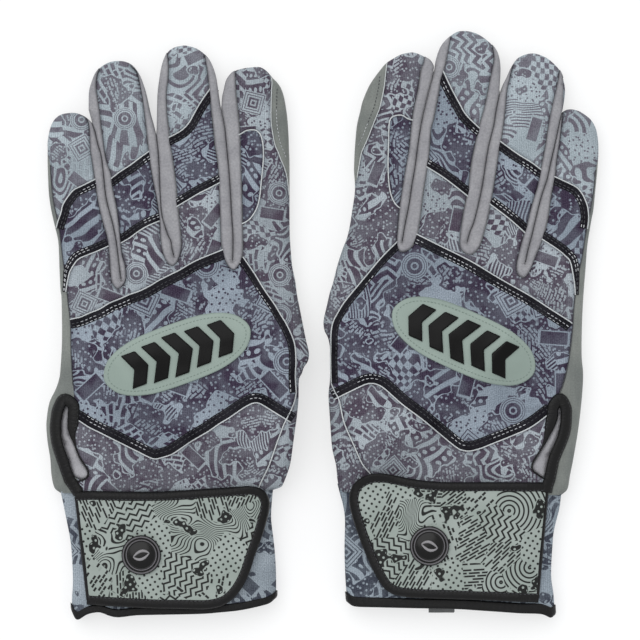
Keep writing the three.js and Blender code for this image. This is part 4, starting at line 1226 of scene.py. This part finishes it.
def panels(g, verts, faces, zone):
    """Printed panels and the gussets between the fingers, turned down at their edges."""
    def panel_top(p, own):
        depth = g.depth(p)
        near = seam_distance(p, own, depth)
        return g.top(p, depth) + 0.38 - 0.55 * (1 - crown(near / 0.9)), near

    def gusset_top(p, own):
        depth = g.depth(p)
        near = seam_distance(p, own, depth)
        roll = np.minimum(crown(near / 1.9, 2.1), crown(seam_distance(p, own) / 1.1, 2.1))
        return g.top(p, depth + 1.5) - 0.5 + 1.6 * roll, near

    looks = dict(index_back="light", knuckle_panel="light", back_panel="dark", lower_back_panel="light")
    for name in FINGERS:
        looks[f"{name}_back"] = "tips"
        looks[f"{name}_flex"] = "dark"
    looks["index_flex"] = "dark"
    for name, look in looks.items():
        nodes = (name, "thumb_side_panel") if name == "index_back" else (name,)
        obj = patch(g, name, verts, faces[zone == name], panel_top, LOOKS[g.side][look])
        g.bend(obj, "fingers", "print_dark" if look == "dark" else "print_light", *nodes)
    for name in GUSSETS:
        obj = patch(g, name, verts, faces[zone == name], gusset_top, GUSSET, 5.5, 1.1)
        g.bend(obj, "fingers", "gusset_fabric", name)


def bands(g):
    """Black bands beside the seam lines with their stitches, some pale as painted glints, a dark line of
    painted shade on the pinky seam, and the pale piping on the lines.
    """
    d = g.data
    thumb_line = d["thumb_line"]
    finger_half, knuckle_half, thumb_half, wrist_half = 1.6, 1.9, 1.35, 2.0
    lines = []
    for i, name in enumerate(FINGERS):
        lines.append((f"{name}_upper", d["upper_lines"][i], -1, finger_half))
        lines.append((f"{name}_lower", d["lower_lines"][i], 1, finger_half))
    lines.append(("knuckle", d["knuckle_line"], -1, knuckle_half))
    lines.append(("thumb", [q for q in thumb_line[1:] if q[1] <= d["thumb_band_to"]], -1, thumb_half))
    lines.append(("wrist", d["wrist_line"], 1, wrist_half))
    nodes = {"knuckle": ["upper_chevron_piping"], "wrist": ["lower_chevron_piping"]}
    rows = []
    for name, points, way, half in lines:
        line = spline(points)
        if name == "pinky_lower":
            half = half * (0.42 + 0.58 * smooth(np.hypot(*(line - line[0]).T), 0, 14))
        wide, n = np.broadcast_to(half, len(line))[:, None], way * normals(line)
        band = ribbon(g, f"{name}_band", line + (wide + 0.2) * n, half, 0.42, g.top, 0.3, BLACK, 10, 2.4)
        g.bend(band, "fingers", "black_trim", *nodes.get(name, []))
        rows.append(line + (2 * wide - 0.45) * n)
        if name != "thumb":
            rows.append(line + (wide + 0.1) * n)

    # Painted glints: where this noise is high, stitches take the pale thread to stand for glints of light;
    # the rest are dark thread
    def painted_glint(p):
        return ripple(p, 11, 7.7 * g.sign) > 0.16

    def dull(p):
        return ~painted_glint(p)

    g.bend(stitches(g, "band_stitches", rows, g.top, 0.76, DULL, keep=dull), "fingers")
    g.bend(stitches(g, "bright_stitches", rows, g.top, 0.78, THREAD_AND_GLINT, keep=painted_glint), "fingers")
    # A thin dark line on the pinky seam: painted shade where the rolled leather edge meets the print
    seam = spline([q for q in d["pinky_seam"][1:] if q[1] <= d["slit_notch"][1] - 40])
    g.bend(ribbon(g, "pinky_seam_shade", seam, 0.2, 0.15, g.top, 0.38, DULL), "fingers")
    edge = spline(d["index_leather"])
    row = edge + 2.3 * normals(edge)
    row = row[inside(row, g.outline) & (g.depth(row) > 1.2)]
    # Index stitches in dark thread, with pale painted glints where the noise is high
    g.bend(stitches(g, "index_stitches", [row], g.top, 0.12, DULL, 1.5, 0.9, 0.17, dull), "fingers")
    g.bend(stitches(g, "index_bright_stitches", [row], g.top, 0.14, THREAD_AND_GLINT, 1.5, 0.9, 0.15, painted_glint), "fingers")
    piped = {name: points for name, points, _, _ in lines}
    piped["thumb_lower"] = [q for q in thumb_line if q[1] >= d["thumb_band_to"] - 8]
    piped["index_edge"] = d["index_leather"][1:-1]
    piped["oval_edge"] = d["oval"]
    for name, points in piped.items():
        half = 0.2 if name == "index_edge" else 0.27
        g.bend(ribbon(g, f"{name}_piping", spline(points), half, 0.3, g.top, 0.5, WHITE), "fingers")


def slit_edge(g, slit):
    """Wrist slit: its rolled binding with a stitched crease, and the lining seen through it, with painted
    shade at the hole's rim and in the lining's crease.
    """
    step = 0.8
    ring = closed_line(slit, step)
    start = mm(g.data["slit"][0])[0]
    ring = np.roll(ring, -int(np.argmin(np.hypot(*(ring - start).T))), axis=0)
    outward = -normals(ring, True)
    for _ in range(8):
        outward = (np.roll(outward, 1, 0) + 2 * outward + np.roll(outward, -1, 0)) / 4
    outward /= np.hypot(*outward.T)[:, None]
    # A thick roll on the palm side and round the top; a thin edge down the back of the hand
    thin = 0.32
    top_end = smooth(ring[:, 1], ring[:, 1].max() - 20, ring[:, 1].max() - 8)
    width = thin + 2.1 * np.maximum(top_end, smooth(-outward[:, 0], -0.1, 0.5))
    width *= 1 + 0.04 * ripple(ring, 3, 8.1)
    rolled = ring + outward * (width - 0.3)[:, None]
    for _ in range(3):
        rolled[1:-1] = (rolled[:-2] + 2 * rolled[1:-1] + rolled[2:]) / 4
    width[:8] = thin
    ends = len(rolled) - int(6 / step)
    path = curve(np.concatenate([rolled[:ends:4], spline(g.data["slit_tail"], step)]), step)
    widths = np.interp(runs_of(path), runs_of(rolled)[:ends], width[:ends])
    roll = ribbon(g, "slit_binding", path, widths, 1.15, g.top, 0.5, BINDING, 16)
    g.ride(roll, "hand", "black_trim", "slit_binding")
    crease = path - (widths - 0.75)[:, None] * normals(path)
    crease = crease[np.flatnonzero(widths < 1.6)[-1] + 1:]
    g.ride(stitches(g, "slit_stitches", [crease], g.top, 1.2, DULL, 1.6, 1.0, 0.16), "hand")
    wide = ring + outward * np.minimum(2.2, 0.5 + width)[:, None]
    verts, faces = triangulate([wide], [], 1.2)
    within = distance(verts, [loop_of(ring)]) * np.where(inside(verts, ring), 1, -1)
    notch = mm(g.data["slit_notch"])[0]
    pinch = np.exp(-((verts - notch) ** 2 * (0.35, 2.2)).sum(1))
    foot = smooth(-verts[:, 1], -ring[:, 1].min() - 9, -ring[:, 1].min() - 1)
    puff = 2.1 * crown(np.clip(within, 0, None) / 1.7, 2.1) - 1.8 * pinch + 0.4 * ripple(verts, 4, 2.0)
    z = g.top(verts) - 3.4 + puff + 1.1 * foot
    # Painted shade on the lining: darker near the rim of the hole and in the pinched crease, less towards its
    # foot
    shade = np.clip(0.8 - within, 0, 1) * (1 - 0.7 * foot) + 0.9 * pinch
    g.ride(build(g, "slit_lining", verts, z, faces, LINING, seam=shade), "hand")


def cuff(g):
    """Outer and inner skin from the wrist to the wavy hem, and the bound edge."""
    hem = spline(g.data["hem"])
    turns = np.linspace(0, 2 * math.pi, 96, endpoint=False)
    side, s = squared(np.cos(turns), ROUND), np.sin(turns)

    def ring(share, grow, to=0.0):
        """Section at a share of the way to the hem, grown outwards, with the hem moved on a little."""
        start = g.wrist_v + 4
        v = np.full(len(turns), start)
        for _ in range(3):
            low, high = g.cuff_span(v)
            u = (low + high) / 2 + side * ((high - low) / 2 + grow)
            v = start + share * (np.interp(u, hem[:, 0], hem[:, 1]) + to - start)
        p = np.stack([u, v], 1)
        full = g.height(p)
        mid = MIDDLE * full
        up = mid + (full - mid + grow) * np.abs(s) ** (2 / ROUND)
        down = mid - (mid + grow) * np.minimum(1, 1.08 * np.abs(s) ** 0.5)
        tucked = 1.6 - 1.6 * smooth(share, 0.07, 0.2)
        least = (LEAST if grow >= 0 else -grow) + tucked
        return p, np.maximum(np.where(s >= 0, up, down) + g.lift(p), least)

    steps = np.linspace(0, 1, 26)
    skins = [ring(share, 0) for share in steps] + [ring(share, -1.6) for share in steps[::-1]]
    lined = np.repeat(np.arange(len(skins) - 1) >= len(steps), 2 * len(turns))
    g.ride(tube(g, "cuff", skins, [LOOKS[g.side]["cuff"], CUFF_LINING], lined), "hand", "cuff_print", "cuff")
    cuff_length = 51
    start = 1 - g.data["hem_width"] / cuff_length
    bound = [ring(start, 0.1)] + [ring(share, 0.6) for share in np.linspace(start + 0.006, 0.99, 6)]
    bound += [ring(1.0, 0.3, -0.3), ring(1.0, -0.8, -0.4), ring(1.0, -1.9, -0.2)]
    bound += [ring(share, -2.2) for share in np.linspace(0.99, start, 5)]
    g.ride(tube(g, "cuff_binding", bound, BINDING), "hand", "black_trim", "cuff_binding")


def strap(g):
    """A slab with a rolled binding and a stitch row, and the badge."""
    outline = spline(g.data["strap"])
    n = normals(outline)
    sewn = resample([outline[-1], outline[0]], 0.9)[1:-1]
    rim = np.concatenate([outline - 1.4 * n, sewn + (0.8, 0)])
    verts, faces = triangulate([rim], [], 1.8)

    def seat(p):
        """The cuff's height, and lower towards the sewn edge."""
        return g.cuff_top(p) - 2.2 * (1 - smooth((p - g.sewn) @ g.away, 0, 9))

    base = seat(verts) + 0.25 * ripple(verts, 16, 5.5)
    top = base + 4.5 - 0.5 * (1 - crown(distance(verts, [outline]) / 3))
    obj = slab(g, "strap", verts, faces, top, base + 2.6, [LOOKS[g.side]["strap"], UNDER])
    g.bend(obj, "strap", "strap_face", "strap")
    mid = 3.55
    side, half, thick = outline - 2.1 * n, 2.15, 1.45
    binding = ribbon(g, "strap_binding", side, half, thick, seat, mid, BINDING, 16, 2.2)
    g.bend(binding, "strap", "black_trim", "strap_binding")
    close = resample([side[-1], side[0]], 1.2) + (0.6, 0)
    root = ribbon(g, "strap_root_binding", close, 0.9, 1.05, seat, mid, BINDING, 14, 2.2)
    g.bend(root, "strap", "black_trim")
    row = outline - 3.3 * n
    g.bend(stitches(g, "strap_stitches", [row], seat, mid + 1.28, DULL, 1.7, 1.1, 0.17), "strap")
    disc, *marks = badge(g)
    g.bend(disc, "strap", "badge_rubber", "strap_badge")
    for mark in marks:
        g.bend(mark, "strap", "badge_rubber")


def badge(g):
    """Round badge: a ribbed rim whose crests carry painted highlights, round a dark disc with a raised
    pointed oval.
    """
    centre = mm(g.data["badge"])[0]
    west, middle, east = g.cuff_top(centre + np.array([(-4, 0), (0, 0), (4, 0)]))
    plane, slope = middle + 4.75, (east - west) / 8

    def level(p):
        return plane + slope * (p[:, 0] - centre[0])

    disc = [(1.2, 1.55), (2.6, 1.5), (4.0, 1.35), (5.3, 1.1), (5.75, 0.9)]
    ribs = [(5.95, 1.35), (6.2, 1.5), (6.45, 1.4), (6.65, 1.05), (6.9, 1.05)]
    edge = [(7.15, 1.5), (7.45, 1.6), (7.75, 1.45), (8.05, 0.9), (8.2, 0.4), (8.2, 0)]
    profile = disc + ribs + edge
    # Rings whose faces take the paler rubber, a painted highlight on the crests
    highlight_rings = (5, 6, 10, 11)
    count = 64
    turns = np.linspace(0, 2 * math.pi, count, endpoint=False)
    circle = np.stack([np.cos(turns), np.sin(turns)], 1)
    p = np.concatenate([centre + radius * circle for radius, _ in profile] + [centre[None]])
    rise = np.append(np.repeat([height for _, height in profile], count), 1.58)
    faces = ring_faces(len(profile), count)
    faces += [(len(p) - 1, j, (j + 1) % count) for j in range(count)]
    slots = np.isin(np.arange(len(faces)) // (2 * count), highlight_rings)
    pieces = [build(g, "strap_badge", p, level(p) + rise, faces, [BADGE, CREST_HIGHLIGHT], slots=slots)]

    def dome(q):
        return level(q) + 1.25 - 0.012 * ((q - centre) ** 2).sum(1)

    reach = 3.3
    across = np.linspace(-reach, reach, 30)
    bulge = 1.7 * (1 - (across / reach) ** 2)
    for i, way in enumerate((-1, 1)):
        line = centre + np.stack([across, 0.25 * across + way * bulge], 1)
        ends = 0.62 * np.sin(np.linspace(0.15, math.pi - 0.15, len(line))) ** 0.6
        pieces.append(ribbon(g, f"badge_mark_{i + 1}", line, ends, 0.5, dome, 0.35, SILVER, 10))
    return pieces


def hem_tab(g):
    """Small label that stands out of the mouth of one cuff."""
    if g.data["tab"]:
        verts, faces = triangulate([closed_line(mm(g.data["tab"]), 0.8)], [], 0.9, (0.2,))
        low = 2.6 + 0.25 * np.sin(verts[:, 0] * 0.9)
        g.ride(slab(g, "hem_tab", verts, faces, low + 0.4, low, LABEL), "hand")


def fastener(g):
    """Soft patch on the cuff and hook patch under the strap's free end."""
    soft = [(104, 505), (232, 502), (232, 588), (108, 590)]
    hooks = [(190, 506), (240, 504), (248, 512), (240, 542), (226, 572), (212, 588), (190, 590)]
    pieces = (
        ("loop_patch", soft, 0.25, 0.8, LOOP, "hand", "loop_fabric"),
        ("hook_patch", hooks, 1.5, 0.9, HOOK, "strap", "hook_plastic"),
    )
    for name, corners, rise, thick, mat, body, slot in pieces:
        verts, faces = triangulate([closed_line(mm(corners), 1.2)], [], 2.0, (0.3, 0.9))
        base = g.cuff_top(verts) + rise
        g.ride(slab(g, name, verts, faces, base + thick, base, mat), body, slot, name)


def emblem(g):
    """Raised plate with a stitched edge and a row of black chevrons."""
    tilt = g.data["emblem_tilt"]
    centre = mm(g.data["emblem"])[0]
    turn = np.array([[math.cos(tilt), math.sin(tilt)], [-math.sin(tilt), math.cos(tilt)]])
    length, width = 32, 12.5
    half = [(1, 0), (0.93, 0.42), (0.78, 0.72), (0.52, 0.93), (0.22, 1.0)]
    half += [(-x, y) for x, y in half[:0:-1]]
    rim = curve(np.array(half + [(-x, -y) for x, y in half]) * (length, width), 0.8, True)[:-1]

    def raised(name, outline, low, high, bevel, mat, *nodes):
        verts, faces = triangulate([outline], [], 1.6, (0.15, 0.4, 0.8))
        base = g.top(verts)
        edge = bevel * (1 - crown(distance(verts, [loop_of(outline)]) / bevel, 2.2))
        obj = slab(g, name, verts, faces, base + high - edge, base + low, mat)
        g.ride(obj, "hand", "emblem_rubber", *nodes)

    raised("emblem_plate", centre + rim @ turn, 0.2, 1.9, 0.7, SAGE, "emblem_plate")
    inset = 1.9
    inner = centre + (rim * (1 - inset / length, 1 - inset / width)) @ turn
    row = stitches(g, "emblem_stitches", [loop_of(inner)], g.top, 1.92, SAGE_THREAD, 1.5, 0.95, 0.16)
    g.ride(row, "hand", "emblem_rubber")
    bar = 6.2
    for i in range(5):
        at = (i - 2) * 9.4
        reach = width * 0.7 * (1 - 0.3 * abs(at) / length)
        back, front = at - reach * 0.45, at + reach * 0.45
        upper = [(back, -reach), (back + bar, -reach), (front + bar / 2, 0)]
        lower = [(back + bar, reach), (back, reach), (front - bar / 2, 0)]
        outline = closed_line(np.array(upper + lower), 0.7)
        raised(f"emblem_chevron_{i + 1}", centre + outline @ turn, 1.0, 2.75, 0.45, RELIEF)


def palm_side(g):
    """Seams of the leather under the glove: a row round the fingers, finger creases and a heel patch."""
    inset = 2.6
    inner = g.rim - inset * normals(g.rim)
    clear = np.abs(g.depth(inner) - inset) < 0.25
    runs, run = [], []
    for point, fine in zip(inner, clear):
        if fine and (not run or np.hypot(*(point - run[-1])) < 3):
            run.append(point)
        elif run:
            runs.append(np.array(run))
            run = [point] if fine else []
    runs = [r for r in runs + [np.array(run)] if len(r) > 6]
    g.bend(stitches(g, "palm_stitches", runs, g.bottom, -0.1, DULL, 2.2, 1.5), "fingers")
    tips = [spline(tip).mean(0) for tip in g.data["tips"]]
    lows = [spline(line)[-1] for line in g.data["slits"]]
    pinky_low, ring_low, middle_low = (line[0] for line in lows)
    columns = (
        (g.rim[0][0] + pinky_low) / 2 + 4,
        (pinky_low + ring_low) / 2,
        (ring_low + middle_low) / 2,
        middle_low + 12,
    )
    for i, (tip, u) in enumerate(zip(tips, columns)):
        base = np.array([u, lows[min(i, 2)][1]])
        middle = tip + (base - tip) * 0.1
        side = left_of(base, middle)
        way = np.array([side[1], -side[0]])
        for j, share in enumerate((0.12, 0.55)):
            at = base + (middle - base) * share
            line = resample(np.array([at - 7.5 * side, at - 0.8 * way, at + 7.5 * side]), 0.9)
            crease = ribbon(g, f"crease_{i + 1}_{j + 1}", line, 0.32, 0.25, g.bottom, 0.0, LEATHER)
            g.bend(crease, "fingers", "leather")
    heel_patch(g)


def heel_patch(g):
    """Extra leather at the heel of the palm's pinky side, with a stitch row round it."""
    low, high = g.wrist_v + 6, g.wrist_v + 46
    thumb_side = 50 * (g.rim[:, 0] > g.rim[:, 0].mean())
    rows = np.linspace(low, high, 8)
    edge = [g.rim[np.argmin(np.abs(g.rim[:, 1] - v) + thumb_side)][0] for v in rows]
    far = [(edge[-1] + 34, high + 2), (edge[-1] + 47, high - 12), (edge[0] + 44, low)]
    margin = 7
    closed = resample(loop_of(np.array([(u + margin, v) for u, v in zip(edge, rows)] + far)), 0.9)
    for _ in range(6):
        closed[1:-1] = (closed[:-2] + closed[1:-1] * 2 + closed[2:]) / 4
    verts, faces = triangulate([closed[:-1]], [], 2.0, (0.3, 0.9))
    z = g.bottom(verts)
    under = z - 0.02 - 0.3 * crown(distance(verts, [closed]) / 1.2)
    g.bend(slab(g, "heel_patch", verts, faces, z + 0.5, under, HEEL), "fingers", "leather")
    row = closed - 1.8 * normals(closed)
    g.bend(stitches(g, "heel_stitches", [row], g.bottom, -0.38, THREAD_AND_GLINT, 2.2, 1.5, 0.18), "fingers")


def thumb(g):
    """Folded thumb under the palm, one skin from its root to a domed tip, with a seam round it."""
    reach = np.hypot(*(g.tip - g.root))
    along, across = (g.tip - g.root) / reach, left_of(g.root, g.tip)
    turns = np.linspace(0, 2 * math.pi, 48, endpoint=False)
    side, s = squared(np.cos(turns), 2.4), np.sin(turns)
    dome, wide, level = 12.5, 14.5, MIDDLE * 8
    spots = [(x, wide - 2 * x / reach, 1.0) for x in np.linspace(0, reach - dome, 16)]
    for a in np.linspace(0.15, 1.54, 12):
        c = math.cos(a)
        spots.append((reach - dome + dome * math.sin(a), dome * c ** 0.85, c ** 0.75))

    def section(x, half, full):
        """Ring across the thumb; near the root its points are moved in until they lie under the palm."""
        p = g.root + x * along + np.outer(side * half, across)
        for _ in range(16 if x < 9 else 0):
            stray = ~inside(p, g.outline) | (g.depth(p) < 1.2)
            p[stray] += 0.6 * along
        up = level + 4.35 * full * np.abs(s) ** (2 / 2.5)
        down = level - 3.55 * full * np.minimum(1, 1.06 * np.abs(s) ** 0.6)
        return p, np.maximum(np.where(s >= 0, up, down) + 0.12 * ripple(p, 8, 4.4), 0.05)

    stations = []
    for a in np.linspace(1.5, 0.12, 8):
        p, z = section(-4.2 * math.sin(a), wide - 1.5 * math.sin(a), 1.0)
        stations.append((p, z + (10 - z) * (1 - math.cos(a))))
    stations += [section(*spot) for spot in spots]
    obj = tube(g, "thumb", stations, [LEATHER, LOOKS[g.side]["dark"]], capped=True)
    below = [int(poly.normal.z < 0.05) for poly in obj.data.polygons]
    obj.data.polygons.foreach_set("material_index", below)
    g.bend(obj, "thumb", "leather", "thumb_leather", "thumb_back")

    def seam(inset, over):
        """Line up one side of the thumb and down the other."""
        sides = [[g.root + x * along + way * max(half - inset, 0.1) * across for x, half, _ in over]
                 for way in (1, -1)]
        return resample(np.array(sides[0] + sides[1][::-1]), 0.9)

    def flat(level_at):
        return lambda p: np.full(len(p), level_at)

    g.bend(ribbon(g, "thumb_seam", seam(0, spots), 0.45, 0.45, flat(3.7), 0, BLACK), "thumb", "black_trim")
    g.bend(stitches(g, "thumb_stitches", [seam(2.6, spots[:-2])], flat(0.35), -0.25, THREAD_AND_GLINT), "thumb")


def glove(data):
    """All pieces of one glove."""
    g = Glove(data)
    slit = spline(data["slit"], 0.8, closed=True)[:-1]
    gussets = [spline(edge, 0.8) for edge in data["edges"]]
    names = ("index_leather", "oval", "pinky_seam", "knuckle_line", "thumb_line", "wrist_line")
    seams = [data[name] for name in names] + data["upper_lines"] + data["lower_lines"]
    verts, faces = triangulate([g.outline, slit], gussets + [spline(line, 0.8) for line in seams], 1.9)
    zone = zones_of(g, verts[faces].mean(1), slit, gussets)
    skin(g, verts, faces, zone)
    panels(g, verts, faces, zone)
    bands(g)
    slit_edge(g, slit)
    cuff(g)
    strap(g)
    hem_tab(g)
    fastener(g)
    emblem(g)
    palm_side(g)
    thumb(g)


def two_views(tree, output, common, seen, share):
    """Light by one closure, and show another by a share to the camera and in mirrors and glass."""
    s = Nodes(tree)
    tree.nodes.clear()
    path = s.node("ShaderNodeLightPath").outputs
    direct = s.math("MAXIMUM", path["Is Camera Ray"], path["Is Glossy Ray"])
    direct = s.math("MAXIMUM", direct, path["Is Transmission Ray"]) * share
    closures = [s.made(kind, enumerate(values)) for kind, *values in (common, seen)]
    mixed = s.made("ShaderNodeMixShader", {0: direct, 1: closures[0], 2: closures[1]})
    s.node(output, {0: mixed})


def stage():
    """Plain floor, a soft white world and a wide sun."""
    size, low = 1.5, -0.0002
    corners = [(-size, -size, low), (size, -size, low), (size, size, low), (-size, size, low)]
    mesh = bpy.data.meshes.new("floor")
    mesh.from_pydata(corners, [], [(0, 1, 2, 3)])
    floor = bpy.data.objects.new("floor", mesh)
    bpy.context.collection.objects.link(floor)
    ground = bpy.data.materials.new("floor")
    ground.use_nodes = True
    white = (1, 1, 1, 1)
    matt = ("ShaderNodeBsdfDiffuse", (0.97, 0.97, 0.97, 1))
    two_views(ground.node_tree, "ShaderNodeOutputMaterial", matt, ("ShaderNodeEmission", white), 0.6)
    mesh.materials.append(ground)

    world = bpy.data.worlds.new("world")
    bpy.context.scene.world = world
    world.use_nodes = True
    soft = ("ShaderNodeBackground", (0.96, 0.98, 1.0, 1), 0.86)
    two_views(world.node_tree, "ShaderNodeOutputWorld", soft, ("ShaderNodeBackground", white, 1.0), 1.0)

    sun = bpy.data.objects.new("key", bpy.data.lights.new("key", "SUN"))
    sun.data.energy = 1.15
    sun.data.angle = math.radians(50)
    sun.rotation_euler = (math.radians(-22), math.radians(-14), 0)
    bpy.context.collection.objects.link(sun)


def camera():
    """Straight down on the pair, with the view's pixels at the height of the gloves' backs."""
    made = bpy.data.objects.new("camera", bpy.data.cameras.new("camera"))
    bpy.context.collection.objects.link(made)
    bpy.context.scene.camera = made
    height, backs = 2.2, 0.01
    pixel = 0.41454 / 1000
    made.data.sensor_width = 36
    made.data.lens = 36 * (height - backs) / (VIEW * pixel)
    x, y = mm((VIEW / 2, VIEW / 2))[0]
    made.location = ((x + SHIFT[0]) / 1000, (y + SHIFT[1]) / 1000, height)
    made.data.clip_start, made.data.clip_end = 0.05, 20


for data in (LEFT, RIGHT):
    glove(data)
stage()
camera()

bpy.context.scene.view_settings.view_transform = "Standard"
